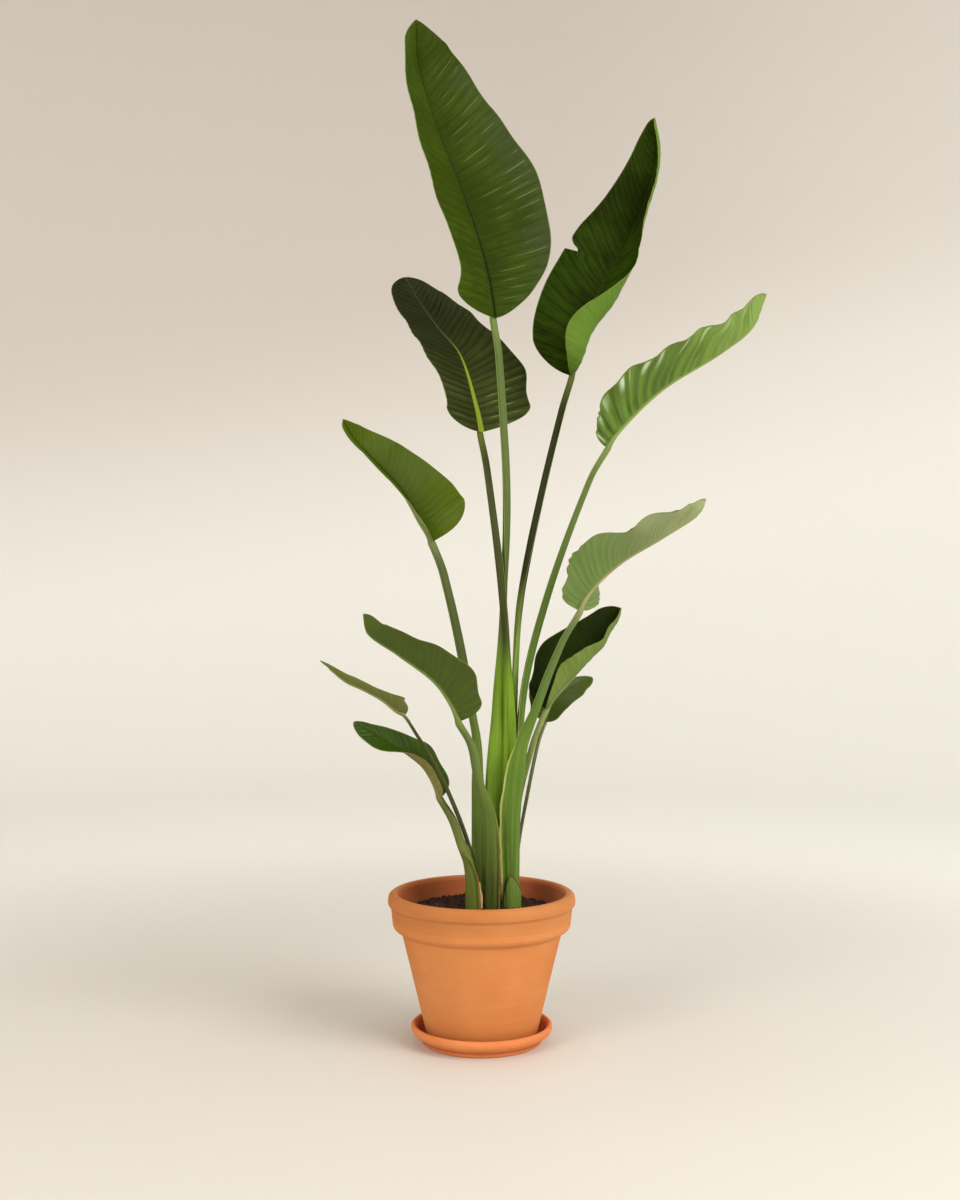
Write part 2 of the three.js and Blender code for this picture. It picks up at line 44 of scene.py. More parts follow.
# Node trees, written as plain sums
class Wire:  # a socket that +, -, * and / work on, in geometry and shader trees alike
    def __init__(self, socket):
        self.socket = socket
        self.tree = socket.id_data
        self.isVector = socket.type in ("VECTOR", "RGBA")

    def calc(self, operation, *others):
        made = self.tree.nodes.new("ShaderNodeVectorMath" if self.isVector else "ShaderNodeMath")
        made.operation = operation
        plug(self, made.inputs[0])
        for i, other in enumerate(others):
            plug(other, made.inputs["Scale" if operation == "SCALE" else i + 1])
        single = operation in ("DOT_PRODUCT", "LENGTH", "DISTANCE")
        return Wire(made.outputs["Value" if single or not self.isVector else "Vector"])

    def __add__(self, other):
        return self.calc("ADD", other)

    def __sub__(self, other):
        return self.calc("SUBTRACT", other)

    def __mul__(self, other):
        if isinstance(other, Wire) and other.isVector and not self.isVector:
            return other * self
        scaling = self.isVector and not (isinstance(other, Wire) and other.isVector)
        return self.calc("SCALE" if scaling else "MULTIPLY", other)

    def __truediv__(self, other):
        return self.calc("DIVIDE", other)

    def __pow__(self, other):
        return self.calc("POWER", other)

    def __rsub__(self, other):
        return self * -1 + other

    __radd__ = __add__
    __rmul__ = __mul__


def plug(value, socket):
    if isinstance(value, Wire):
        socket.id_data.links.new(value.socket, socket)
    else:
        socket.default_value = value


def node(tree, kind, inputs=None, **settings):
    made = tree.nodes.new(kind)
    for label, value in settings.items():
        setattr(made, label, value)
    for label, value in (inputs or {}).items():
        plug(value, made.inputs[label])
    return made


def sine(wire):
    return wire.calc("SINE")


def cosine(wire):
    return wire.calc("COSINE")


def atLeast(wire, low):
    return wire.calc("MAXIMUM", low)


def ramp(wire, low, high):  # 0 below low, 1 above high, smooth between
    made = node(wire.tree, "ShaderNodeMapRange", {"Value": wire, "From Min": low, "From Max": high},
                interpolation_type="SMOOTHSTEP")
    return Wire(made.outputs["Result"])


def rising(wire, low, high):  # the same, but straight between
    made = node(wire.tree, "ShaderNodeMapRange", {"Value": wire, "From Min": low, "From Max": high})
    return Wire(made.outputs["Result"])


def between(a, b, share):
    return a + (b - a) * share


def parts(vector):
    made = node(vector.tree, "ShaderNodeSeparateXYZ", {"Vector": vector})
    return [Wire(made.outputs[axis]) for axis in "XYZ"]


def joined(tree, x, y, z):
    return Wire(node(tree, "ShaderNodeCombineXYZ", {"X": x, "Y": y, "Z": z}).outputs[0])


def noise(vector, scale, detail=2.0, roughness=0.5):  # about 0.5, seldom past 0.25 and 0.75
    made = node(vector.tree, "ShaderNodeTexNoise",
                {"Vector": vector, "Scale": scale, "Detail": detail, "Roughness": roughness})
    return Wire(made.outputs[0])


def geometryTree(name, sizes):
    tree = bpy.data.node_groups.new(name, "GeometryNodeTree")
    tree.interface.new_socket("Start", in_out="INPUT", socket_type="NodeSocketGeometry")
    for label, value in sizes.items():
        kind = "NodeSocketInt" if isinstance(value, int) else "NodeSocketFloat"
        tree.interface.new_socket(label, in_out="INPUT", socket_type=kind).default_value = value
    tree.interface.new_socket("Material", in_out="INPUT", socket_type="NodeSocketMaterial")
    tree.interface.new_socket("Piece", in_out="OUTPUT", socket_type="NodeSocketGeometry")
    source = tree.nodes.new("NodeGroupInput")
    return tree, {socket.name: Wire(socket) for socket in source.outputs if socket.name}


def endTree(tree, geometry, material):
    real = node(tree, "GeometryNodeRealizeInstances", {"Geometry": geometry})
    painted = node(tree, "GeometryNodeSetMaterial",
                   {"Geometry": Wire(real.outputs[0]), "Material": material})
    end = tree.nodes.new("NodeGroupOutput")
    plug(Wire(painted.outputs[0]), end.inputs["Piece"])
    return tree


def gridOf(tree, rows, columns):  # a unit grid, with its two coordinates from 0 to 1 and from -1 to 1
    grid = node(tree, "GeometryNodeMeshGrid",
                {"Size X": 1.0, "Size Y": 1.0, "Vertices X": rows, "Vertices Y": columns})
    x, y, _ = parts(Wire(tree.nodes.new("GeometryNodeInputPosition").outputs[0]))
    return Wire(grid.outputs["Mesh"]), x + 0.5, y * 2


def along(curve, factor, label=None):  # a value of the line, or its place, at a share of its length
    vector = label in ("up", "side", "open", "cross")
    kind = "FLOAT_VECTOR" if vector else "FLOAT"
    made = node(curve.tree, "GeometryNodeSampleCurve", mode="FACTOR", data_type=kind)
    plug(curve, made.inputs["Curves"])
    plug(factor, made.inputs["Factor"])
    if label is None:
        return Wire(made.outputs["Position"])
    value = node(curve.tree, "GeometryNodeInputNamedAttribute", {"Name": label}, data_type=kind)
    plug(Wire(value.outputs["Attribute"]), made.inputs["Value"])
    return Wire(made.outputs["Value"])


def stored(geometry, label, value):
    made = node(geometry.tree, "GeometryNodeStoreNamedAttribute",
                {"Geometry": geometry, "Name": label, "Value": value}, data_type="FLOAT", domain="POINT")
    return Wire(made.outputs[0])


def moved(geometry, position):
    return Wire(node(geometry.tree, "GeometryNodeSetPosition",
                     {"Geometry": geometry, "Position": position}).outputs[0])


def welded(geometry, distance):
    return Wire(node(geometry.tree, "GeometryNodeMergeByDistance",
                     {"Geometry": geometry, "Distance": distance}).outputs[0])


def lineMesh(name, points, values):  # a chain of points that carries the values a tree reads
    mesh = bpy.data.meshes.new(name)
    mesh.from_pydata(np.asarray(points).tolist(), [(i, i + 1) for i in range(len(points) - 1)], [])
    for label, data in values.items():
        data = np.asarray(data, np.float32)
        kind, field = ("FLOAT_VECTOR", "vector") if data.ndim == 2 else ("FLOAT", "value")
        mesh.attributes.new(label, kind, "POINT").data.foreach_set(field, data.ravel())
    return mesh


def settled(piece):  # what the modifiers make, as a plain mesh
    graph = bpy.context.evaluated_depsgraph_get()
    mesh = bpy.data.meshes.new_from_object(piece.evaluated_get(graph), preserve_all_data_layers=True,
                                           depsgraph=graph)
    for i in reversed(range(len(mesh.materials))):
        if mesh.materials[i] is None:
            mesh.materials.pop(index=i)
    piece.modifiers.clear()
    piece.data = mesh
    return piece


def grown(name, start, tree, sizes, material):
    piece = bpy.data.objects.new(name, start)
    bpy.context.scene.collection.objects.link(piece)
    modifier = piece.modifiers.new("grow", "NODES")
    modifier.node_group = tree
    for label, value in {**sizes, "Material": material}.items():
        modifier[tree.interface.items_tree[label].identifier] = value
    return settled(piece)


def smoothed(piece, sharp=50):
    piece.data.polygons.foreach_set("use_smooth", [True] * len(piece.data.polygons))
    piece.data.set_sharp_from_angle(angle=math.radians(sharp))
    return piece


def outward(piece):  # turns a closed mesh right side out
    mesh = piece.data
    mesh.calc_loop_triangles()
    corners = np.empty(len(mesh.loop_triangles) * 3, int)
    mesh.loop_triangles.foreach_get("vertices", corners)
    places = np.empty(len(mesh.vertices) * 3)
    mesh.vertices.foreach_get("co", places)
    a, b, c = places.reshape(-1, 3)[corners].reshape(-1, 3, 3).transpose(1, 0, 2)
    if np.einsum("ij,ij->", a, np.cross(b, c)) < 0:
        mesh.flip_normals()
    return piece


def fit(piece, slot, *nodes):
    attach(piece, "root")
    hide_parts(*nodes)
    return piece


# Finishes
def paint(red, green, blue):  # a colour as it is seen on a screen, 0 to 255
    def linear(value):
        value /= 255
        return value / 12.92 if value <= 0.04045 else ((value + 0.055) / 1.055) ** 2.4
    return (linear(red), linear(green), linear(blue), 1.0)


def newFinish(name, **fixed):
    made = bpy.data.materials.new(name)
    made.use_nodes = True
    shader = made.node_tree.nodes["Principled BSDF"]
    for label, value in fixed.items():
        shader.inputs[label.replace("_", " ")].default_value = value
    return made, made.node_tree, shader


def objectPlace(tree):
    return Wire(tree.nodes.new("ShaderNodeTexCoord").outputs["Object"])


def carried(tree, label):
    return Wire(node(tree, "ShaderNodeAttribute", attribute_name=label).outputs["Fac"])


def mixed(a, b, share):
    tree = share.tree
    made = tree.nodes.new("ShaderNodeMix")
    made.data_type = "RGBA"
    plug(share, made.inputs["Factor"])
    for value, label in ((a, "A"), (b, "B")):
        plug(value, next(s for s in made.inputs if s.name == label and s.type == "RGBA"))
    return Wire(next(s for s in made.outputs if s.type == "RGBA"))


def dressed(shader, colour, height, depth, roughness=None):
    tree = shader.id_data
    plug(colour, shader.inputs["Base Color"])
    bump = node(tree, "ShaderNodeBump", {"Height": height, "Distance": depth, "Strength": 1.0})
    plug(Wire(bump.outputs[0]), shader.inputs["Normal"])
    if roughness is not None:
        plug(roughness, shader.inputs["Roughness"])


def shaded(colour, factor, lift=0.0):
    return tuple(min(value * factor + lift, 1) for value in colour[:3]) + (1.0,)


# Fired clay: turned rings, fine grains and pale clouds, with painted shade and painted bounce light inside
# and painted shade on the rim
clays = {
    "pot clay": dict(
        body=paint(205, 132, 75), warm=paint(198, 122, 65), pale=paint(218, 150, 98),
        dark=paint(172, 96, 52), bloom=paint(232, 196, 160), inner=paint(184, 92, 55),
        cloudScale=7.0, ringScale=60.0, ringSquash=0.15, grainScale=700.0, bloomScale=26.0,
        ringShare=0.16, grainShare=0.35, bloomShare=0.03, innerShare=0.75, innerRadius=(0.1335, 0.1365),
        innerRise=(0.185, 0.2), rimShade=0.15, rimRise=(0.19, 0.212), depth=0.0004),
    "saucer clay": dict(
        body=paint(221, 136, 79), warm=paint(213, 127, 72), pale=paint(228, 149, 96),
        dark=paint(168, 88, 48), bloom=paint(226, 186, 150), inner=paint(176, 90, 52),
        cloudScale=9.0, ringScale=80.0, ringSquash=0.15, grainScale=700.0, bloomScale=30.0,
        ringShare=0.3, grainShare=0.35, bloomShare=0.05, innerShare=0.75, innerRadius=(0.102, 0.105),
        innerRise=(0.004, 0.006), rimShade=0.0, rimRise=(0.1, 0.11), depth=0.0004),
}


def clayFinish(name):
    look = clays[name]
    made, tree, shader = newFinish(name, Specular_IOR_Level=0.25)
    place = objectPlace(tree)
    x, y, z = parts(place)
    flat = joined(tree, x * look["ringSquash"], y * look["ringSquash"], z)
    clouds = noise(place, look["cloudScale"], 4)
    rings = noise(flat, look["ringScale"], 3, 0.6)
    grains = noise(place, look["grainScale"], 2)
    colour = mixed(look["body"], look["warm"], ramp(clouds, 0.35, 0.65))
    colour = mixed(colour, look["pale"], ramp(rings, 0.45, 0.75) * look["ringShare"])
    colour = mixed(colour, look["dark"], ramp(grains, 0.62, 0.75) * look["grainShare"])
    bloom = ramp(noise(place, look["bloomScale"], 5, 0.7), 0.58, 0.8) * look["bloomShare"]
    colour = mixed(colour, look["bloom"], bloom)
    # Painted shade and painted bounce light: the inside darker and redder than the outside
    shadedInside = (1 - ramp((x * x + y * y) ** 0.5, *look["innerRadius"])) * ramp(z, *look["innerRise"])
    colour = mixed(colour, look["inner"], shadedInside * look["innerShare"])
    colour = colour * (1 - ramp(z, *look["rimRise"]) * look["rimShade"])
    roughness = between(0.72, 0.92, ramp(clouds, 0.3, 0.7))
    dressed(shader, colour, rings * 0.5 + grains * 0.35 + clouds * 0.2, look["depth"], roughness)
    return made


# Lines that the pieces follow
def throughPoints(points, u):  # centripetal Catmull-Rom, u from 0 at the first point to 1 at the last
    p = np.asarray(points, float)
    u = np.atleast_1d(u) * (len(p) - 1)
    i = np.clip(np.floor(u).astype(int), 0, len(p) - 2)
    w = (u - i)[:, None]
    ends = np.vstack([2 * p[0] - p[1], p, 2 * p[-1] - p[-2]])
    p0, p1, p2, p3 = ends[i], ends[i + 1], ends[i + 2], ends[i + 3]
    d0, d1, d2 = (np.maximum(np.sum((b - a) ** 2, 1) ** 0.25, 1e-4)[:, None]
                  for a, b in ((p0, p1), (p1, p2), (p2, p3)))
    m1 = ((p1 - p0) / d0 - (p2 - p0) / (d0 + d1) + (p2 - p1) / d1) * d1
    m2 = ((p2 - p1) / d1 - (p3 - p1) / (d1 + d2) + (p3 - p2) / d2) * d1
    return p1 + m1 * w + (3 * (p2 - p1) - 2 * m1 - m2) * w ** 2 + (2 * (p1 - p2) + m1 + m2) * w ** 3


def smooth(values, t):  # a short list spread over 0 to 1, read smoothly between its values
    v = np.asarray(values, float)
    t = np.atleast_1d(t)
    if len(v) == 1:
        return np.full_like(t, v[0], dtype=float)
    x = np.clip(t, 0, 1) * (len(v) - 1)
    i = np.clip(np.floor(x).astype(int), 0, len(v) - 2)
    f = x - i
    a, b, c, d = (np.concatenate([v[:1], v, v[-1:]])[i + k] for k in range(4))
    return b + 0.5 * f * (c - a + f * (2 * a - 5 * b + 4 * c - d + f * (3 * (b - c) + d - a)))


def unit(vectors):
    return vectors / np.linalg.norm(vectors, axis=1, keepdims=True)


class Spine:  # a leaf's line: the stalk, then the midrib
    def __init__(self, leaf):
        self.leaf = leaf
        self.points = leaf["stalk"] + leaf["rib"]
        self.baseU = (len(leaf["stalk"]) - 1) / (len(self.points) - 1)
        self.tables = [self.lengths(0, self.baseU), self.lengths(self.baseU, 1)]
        self.stalkLength, self.ribLength = (table[1][-1] for table in self.tables)

    def lengths(self, low, high):
        u = np.linspace(low, high, 201)
        steps = np.linalg.norm(np.diff(throughPoints(self.points, u), axis=0), axis=1)
        return u, np.concatenate([[0], np.cumsum(steps)])

    def facing(self, t):
        return np.stack([smooth([f[k] for f in self.leaf["face"]], t) for k in range(3)], 1)

    def frame(self, table, t, facing):
        u = np.interp(np.clip(t, 0, 1) * table[1][-1], table[1], table[0])
        step = 1e-3
        ahead = throughPoints(self.points, np.clip(u + step, 0, 1))
        forward = unit(ahead - throughPoints(self.points, np.clip(u - step, 0, 1)))
        up = unit(facing - np.sum(facing * forward, 1, keepdims=True) * forward)
        return throughPoints(self.points, u), up, np.cross(forward, up)

    def onRib(self, t):
        return self.frame(self.tables[1], t, self.facing(t))

    def onStalk(self, t):
        atBase = self.facing(np.zeros(1))
        atSoil = np.array([[0, np.sign(atBase[0, 1]), 0]])
        share = (t ** 2)[:, None]
        return self.frame(self.tables[0], t, atSoil * (1 - share) + atBase * share)


# Leaves, from the tallest down. Places are millimetres; lists of widths and angles run from base to tip.
# stalk and rib are a leaf's line, and face is the way that its upper side looks. girth gives shares of
# the stalk's length with its breadth and depth there. wide, lift and curl shape the blade's two halves.
# fin is how far the thin edges of the stalk's channel stand out, and the height below which they do.
# open is the way that the channel faces at the soil, in degrees about +Z. pleats are counted along the
# blade. tear is a half, its place and depth, and how far it reaches down and up; frayed adds a half,
# where it begins and ends, its depth and its teeth. gloss and shine are how strong the gloss is, streaks
# how strong the painted glints along the veins are, bands how strong the painted shade in the pleats'
# valleys and the painted light on their crests are, veins how strong the vein lines are, and the sheen
# key how strong the painted sheen on the crests near the margin is. The rest are colours, petiole's from
# the foot up.
leaves = {
    "leaf_01": dict(
        stalk=[[15, 8, 165], [21, 8, 418], [33, 8, 642], [40, 6, 867], [32, 6, 1026], [21, 8, 1157]],
        rib=[[6, 14, 1246], [-28, 28, 1357], [-73, 46, 1473], [-104, 62, 1583], [-107, 75, 1655]],
        girth=[[0, 24, 20], [0.25, 29.5, 18], [0.38, 21, 15], [0.52, 12.5, 12], [1, 11.5, 11]],
        face=[[0.5, -1, 0.1]],
        left=dict(wide=[150, 100, 111, 112, 97, 79, 64, 43, 34], lift=[38]),
        right=dict(wide=[40, 98, 117, 121, 108, 93, 77, 57, 36], lift=[30], curl=[16]),
        ends=(0.06, 0.1), wave=(2, 5, 0), slant=(0.94, 3.4), pleats=34, pleatDepth=0.9, point=0.8,
        gloss=0.05, shine=0.05, streaks=0.26, ribHalf=(2.6, 3), ribHeight=-1.3, open=48, fin=(2.5, 690),
        kind=("dark", "green"),
        # The midrib's colour here is painted shade in its groove
        upper=(46, 60, 9), fresh=(57, 76, 14), under=(92, 116, 44), ribPaintAndGrooveShade=(30, 42, 8),
        keel=(110, 130, 62),
        petiole=((122, 158, 45), (130, 168, 48), (76, 92, 40)), petioleRise=(0.56, 0.7),
        lip=((150, 176, 80), (140, 130, 60))),
    "leaf_02": dict(
        stalk=[[35, 3, 165], [44, 4, 418], [42, -6, 563], [34, -8, 707], [15, 14, 867], [-1, 42, 978]],
        rib=[[-10, 64, 1024], [-37, 112, 1114], [-74, 150, 1164], [-109, 182, 1217], [-125, 205, 1248],
             [-133, 228, 1264]],
        girth=[[0, 18, 17], [0.2, 25, 14], [0.4, 23, 13], [0.58, 12, 11.5], [1, 10.5, 10]],
        face=[[0.3, -1, 0.5], [0.2, -0.9, 0.8], [0, -0.6, 1]],
        left=dict(wide=[75, 62, 66, 81, 80, 65, 53, 40, 30], lift=[25, 25, 25, 25, 24, 20, 12, 4, -4]),
        right=dict(wide=[92, 86, 94, 76, 62, 61, 51, 38, 30], lift=[25, 25, 25, 25, 24, 20, 12, 4, -4]),
        ends=(0.08, 0.16), wave=(1.5, 5, 0), slant=(0.9, 2.2), pleats=30, pleatDepth=1.6, gloss=0.03,
        shine=0.02, streaks=0.7, streaksTo=(0.12, 0.34), ribFade=(0.3, 0.6), bands=0.4,
        tipPaint=((32, 35, 17), 0.3, 0.85, "upper"), stalkShine=0.06, ribHalf=(5.2, 2.2), ribHeight=1.2,
        open=185, fin=(3, 560), kind=("dark", "dark"),
        upper=(45, 50, 22), fresh=(60, 70, 31), under=(78, 96, 44), ribPaintAndGrooveShade=(138, 156, 48),
        keel=(110, 130, 50),
        petiole=((112, 154, 28), (122, 160, 44), (58, 62, 32)), petioleRise=(0.55, 0.66),
        lip=((150, 172, 76), (146, 128, 62))),
    "leaf_03": dict(
        stalk=[[46, 24, 165], [50, 25, 415], [54, 17, 610], [62, 14, 706], [94, 16, 867],
               [144, 30, 1068]],
        rib=[[167, 38, 1149], [202, 55, 1228], [241, 74, 1298], [270, 92, 1369], [289, 108, 1443],
             [288, 118, 1507]],
        girth=[[0, 14, 13], [0.4, 12, 12], [1, 10, 10]],
        face=[[-0.35, -1, 0.1]],
        left=dict(wide=[60, 80, 86, 83, 80, 66, 52, 38, 20], lift=[20]),
        right=dict(wide=[80, 104, 108, 88, 66, 52, 42, 34, 20],
                   lift=[24, 28, 12, 28, 27, 32, 29, 38, 45],
                   curl=[120, 120, 100, 40, 52, 60, 64, 70, 80]),
        tear=("left", 0.405, 0.37, 0.014, 0.035), frayed=(("right", 0.4, 0.8, 5, 5),), slant=(0.9, 1.6),
        pleats=30, pleatDepth=1.1, gloss=0.03, shine=0.02, stalkShine=0.06, bands=0.12, ribHalf=(1.6, 1),
        ribHeight=-0.8, open=165, fin=(5, 566), kind=("dark", "dark"),
        upper=(23, 32, 1), fresh=(44, 64, 6), under=(88, 116, 42), ribPaintAndGrooveShade=(50, 64, 14),
        keel=(110, 120, 60),
        petiole=((128, 154, 58), (140, 168, 78), (40, 44, 18)), petioleRise=(0.62, 0.76),
        lip=((168, 180, 100), (176, 172, 100))),
    "leaf_04": dict(
        stalk=[[52, 12, 165], [57, 11, 416], [67, 10, 562], [103, 0, 707], [159, -10, 866],
               [196, -18, 950]],
        rib=[[225, -26, 985], [284, -40, 1039], [373, -58, 1093], [419, -66, 1130], [441, -70, 1181]],
        girth=[[0, 15, 13], [0.35, 14, 13], [1, 10, 9.5]],
        face=[[-0.6, 0.3, 0.7]],
        left=dict(wide=[60, 72, 78, 72, 64, 60, 50, 40, 26], lift=[36]),
        right=dict(wide=[38, 58, 69, 62, 58, 58, 46, 39, 22], lift=[36]),
        wave=(3, 6, 0), slant=(0.92, 1.1), pleats=19, pleatDepth=3.2, underGloss=0.3, bands=0.65,
        paintedSheen=0.7, uneven=3.0, frayed=(("right", 0.02, 0.12, 5, 3),),
        tipPaint=((120, 146, 68), 0.35, 0.9, "under"), ribHalf=(1.6, 1), ribHeight=-0.6, open=190,
        fin=(3, 600), kind=("pale", "green"),
        upper=(66, 96, 26), fresh=(80, 112, 30), under=(78, 104, 31), ribPaintAndGrooveShade=(120, 140, 60),
        keel=(138, 154, 88),
        petiole=((92, 118, 38), (84, 112, 38), (92, 112, 52)), petioleRise=(0.66, 0.85),
        lip=((160, 172, 104), (150, 140, 70))),
    "leaf_05": dict(
        stalk=[[45, -13, 165], [45, -12, 364], [53, -18, 421], [64, -28, 481], [85, -40, 536],
               [108, -55, 600], [148, -80, 693]],
        rib=[[167, -90, 723], [211, -108, 765], [273, -132, 803], [328, -150, 841], [336, -152, 860]],
        girth=[[0, 21, 14], [0.12, 23, 14], [0.36, 34, 15], [0.47, 31, 14], [0.58, 21, 13],
               [0.7, 14, 13], [1, 10.5, 10]],
        face=[[-0.6, 0.3, 0.7]],
        left=dict(wide=[55, 60, 66, 62, 54, 46, 40, 30, 18], lift=[-22, 45, 50, 50, 50]),
        right=dict(wide=[45, 50, 72, 72, 47, 50, 41, 27, 18], lift=[38]),
        wave=(3, 4, 1), slant=(0.92, 1.1), pleats=30, pleatDepth=1.4, underGloss=0.1, bands=0.3,
        uneven=2.4, frayed=(("right", 0.02, 0.3, 5, 5), ("left", 0.0, 0.1, 6, 3)),
        # The underside's tip colour here is a pale painted sheen
        tipPaint=((146, 154, 112), 0.3, 0.8, "under"), ribHalf=(1.6, 1), ribHeight=-0.6, open=155,
        fin=(6.5, 476), kind=("pale", "green"),
        upper=(74, 98, 36), fresh=(86, 112, 42), under=(94, 116, 60), ribPaintAndGrooveShade=(140, 140, 86),
        keel=(156, 154, 108),
        petiole=((76, 106, 26), (84, 114, 36), (90, 112, 56)), petioleRise=(0.5, 0.62),
        lip=((164, 172, 92), (170, 150, 84))),
    "leaf_06": dict(
        stalk=[[-5.5, 4, 165], [-5.5, 6, 408], [-7, 5, 482], [-14, 6, 522], [-30, 10, 609],
               [-55, 16, 722], [-78, 24, 801]],
        rib=[[-99, 36, 832], [-131, 60, 885], [-177, 88, 935], [-217, 112, 979], [-232, 126, 1007]],
        girth=[[0, 23, 18], [0.35, 21.5, 15], [0.55, 15, 13], [1, 13, 12]],
        face=[[0.6, -1, 0.3]],
        left=dict(wide=[70, 75, 76, 68, 60, 50, 38, 26, 14], lift=[57, 57, 51, 48, 48, 48, 45, 42, 36]),
        right=dict(wide=[80, 79, 76, 64, 55, 48, 36, 24, 14], lift=[40]),
        slant=(0.9, 1.8), pleats=24, pleatDepth=0.3, point=0.6, gloss=0.04, shine=0.06, veins=0.3,
        ribHalf=(1.4, 1), ribHeight=-0.9, open=25, fin=(6, 455), kind=("pale", "green"),
        # The midrib's colour here is painted shade in its groove
        upper=(72, 90, 14), fresh=(82, 100, 18), under=(98, 116, 54), ribPaintAndGrooveShade=(56, 70, 18),
        keel=(120, 134, 76),
        petiole=((86, 108, 36), (90, 114, 44), (66, 76, 30)), petioleRise=(0.45, 0.62),
        lip=((140, 148, 74), (112, 84, 44))),
    "leaf_07": dict(
        stalk=[[46, 38, 165], [55, 38, 330], [62, 35, 390], [74, 33, 439], [88, 34, 487],
               [104, 36, 529]],
        rib=[[120, 40, 550], [153, 50, 584], [177, 58, 611], [199, 68, 640], [216, 78, 666],
             [230, 88, 692]],
        girth=[[0, 10, 9], [1, 9, 8]],
        face=[[-0.4, -1, 0.3]],
        left=dict(wide=[45, 50, 69, 75, 70, 61, 49, 37, 27], lift=[15]),
        right=dict(wide=[45, 50, 69, 75, 70, 60, 47, 35, 20], lift=[42, 54, 63, 57, 51, 39, 42, 36, 39],
                   curl=[60]),
        slant=(0.9, 1.6), pleats=22, pleatDepth=0.7, gloss=0.03, shine=0.03,
        frayed=(("right", 0.2, 0.9, 3, 11),), ribHalf=(1.3, 1), ribHeight=-0.6, open=200, fin=(2.5, 420),
        kind=("dark", "green"),
        upper=(28, 39, 5), fresh=(38, 52, 8), under=(98, 116, 54), ribPaintAndGrooveShade=(70, 84, 34),
        keel=(128, 138, 88),
        petiole=((90, 102, 44), (102, 118, 58), (118, 130, 74)), petioleRise=(0.34, 0.5),
        lip=((150, 158, 96), (150, 134, 80))),
    "leaf_08": dict(
        stalk=[[48, 46, 165], [60, 50, 304], [75, 54, 387], [94, 60, 476], [105, 66, 506]],
        rib=[[117, 76, 534], [138, 96, 556], [160, 112, 569], [186, 124, 574]],
        girth=[[0, 8, 7], [0.4, 5.5, 5.5], [1, 5, 5]],
        face=[[-0.2, -1, 0.3]],
        left=dict(wide=[30, 32, 44, 40, 26, 14, 9, 6, 4], lift=[15]),
        right=dict(wide=[16, 22, 27, 29, 30, 30, 25, 18, 11], lift=[15]),
        slant=(0.9, 1.6), pleats=18, pleatDepth=0.5, ribHalf=(1.0, 1), ribHeight=-0.4, open=200,
        fin=(0.8, 320), kind=("pale", "green"),
        upper=(62, 76, 22), fresh=(72, 88, 28), under=(92, 106, 46), ribPaintAndGrooveShade=(104, 114, 60),
        keel=(120, 124, 76),
        petiole=((96, 98, 58), (92, 94, 60), (100, 106, 68)), petioleRise=(0.34, 0.46),
        lip=((156, 152, 118), (150, 138, 96))),
    "leaf_09": dict(
        stalk=[[16, -32, 165], [17, -32, 304], [9, -34, 374], [-3, -36, 414], [-18, -42, 487],
               [-32, -48, 518]],
        rib=[[-54, -58, 557], [-75, -66, 583], [-129, -88, 624], [-175, -108, 659], [-181, -112, 687]],
        girth=[[0, 24, 18], [0.37, 27, 17], [0.57, 22, 15], [0.75, 15, 13], [1, 11.5, 11]],
        face=[[0.5, 0.3, 0.8]],
        left=dict(wide=[50, 51, 68, 62, 59, 47, 42, 35, 25], lift=[36]),
        right=dict(wide=[50, 56, 64, 60, 54, 44, 38, 32, 24], lift=[36]),
        slant=(0.92, 1.3), pleats=24, pleatDepth=0.5, veins=0.7, bands=0.2, ribHalf=(1.6, 1),
        ribHeight=-0.6, open=22, fin=(5.5, 378), kind=("pale", "green"),
        upper=(60, 78, 26), fresh=(70, 90, 30), under=(66, 80, 30), ribPaintAndGrooveShade=(120, 140, 66),
        keel=(116, 130, 64),
        petiole=((52, 64, 18), (78, 98, 34), (88, 104, 52)), petioleRise=(0.36, 0.48),
        lip=((130, 138, 66), (138, 100, 50))),
    "leaf_10": dict(
        stalk=[[-7, -19, 165], [-12, -19, 286], [-22.5, -23, 325], [-34, -34, 359], [-51, -46, 402],
               [-68, -60, 440], [-98, -78, 496], [-118, -86, 531]],
        rib=[[-130, -88, 536], [-153, -92, 554], [-181, -98, 570], [-208, -104, 583], [-231, -108, 602],
             [-247, -110, 615]],
        girth=[[0, 8, 8], [0.4, 7.5, 7.5], [1, 5, 5]],
        face=[[0.5, 0.3, 0.8]],
        left=dict(wide=[22, 24, 16, 12, 12, 13, 10, 6, 3], lift=[50], curl=[50]),
        right=dict(wide=[18, 22, 15, 12, 12, 13, 10, 6, 3], lift=[60], curl=[50]),
        slant=(0.9, 1.3), pleats=14, pleatDepth=0.4, ribHalf=(0.8, 1), ribHeight=-0.3, open=20,
        fin=(0.8, 320), kind=("pale", "dark"),
        upper=(76, 86, 32), fresh=(90, 98, 40), under=(80, 86, 36), ribPaintAndGrooveShade=(130, 130, 70),
        keel=(128, 124, 78),
        petiole=((80, 86, 30), (56, 62, 24), (60, 62, 30)), petioleRise=(0.3, 0.4),
        lip=((112, 112, 66), (120, 104, 60))),
    "leaf_11": dict(
        stalk=[[-15, -33, 165], [-18.5, -33, 286], [-33, -34, 323], [-47, -37, 363], [-64, -40, 397]],
        rib=[[-78, -46, 426], [-92, -56, 448], [-117, -66, 469], [-152, -76, 492], [-198, -86, 519]],
        girth=[[0, 24, 16], [0.4, 21, 15], [0.75, 13, 12], [1, 11, 10]],
        face=[[0.2, -0.7, 0.7]],
        left=dict(wide=[12, 13, 15, 19, 25, 29, 26, 19, 11], lift=[70, 70, 64, 52, 38, 22, 5, -8, -14],
                  curl=[60, 56, 50, 44, 36, 20, 0, 0, 0]),
        right=dict(wide=[18, 24, 25, 32, 27, 23, 18, 11, 7], lift=[30]),
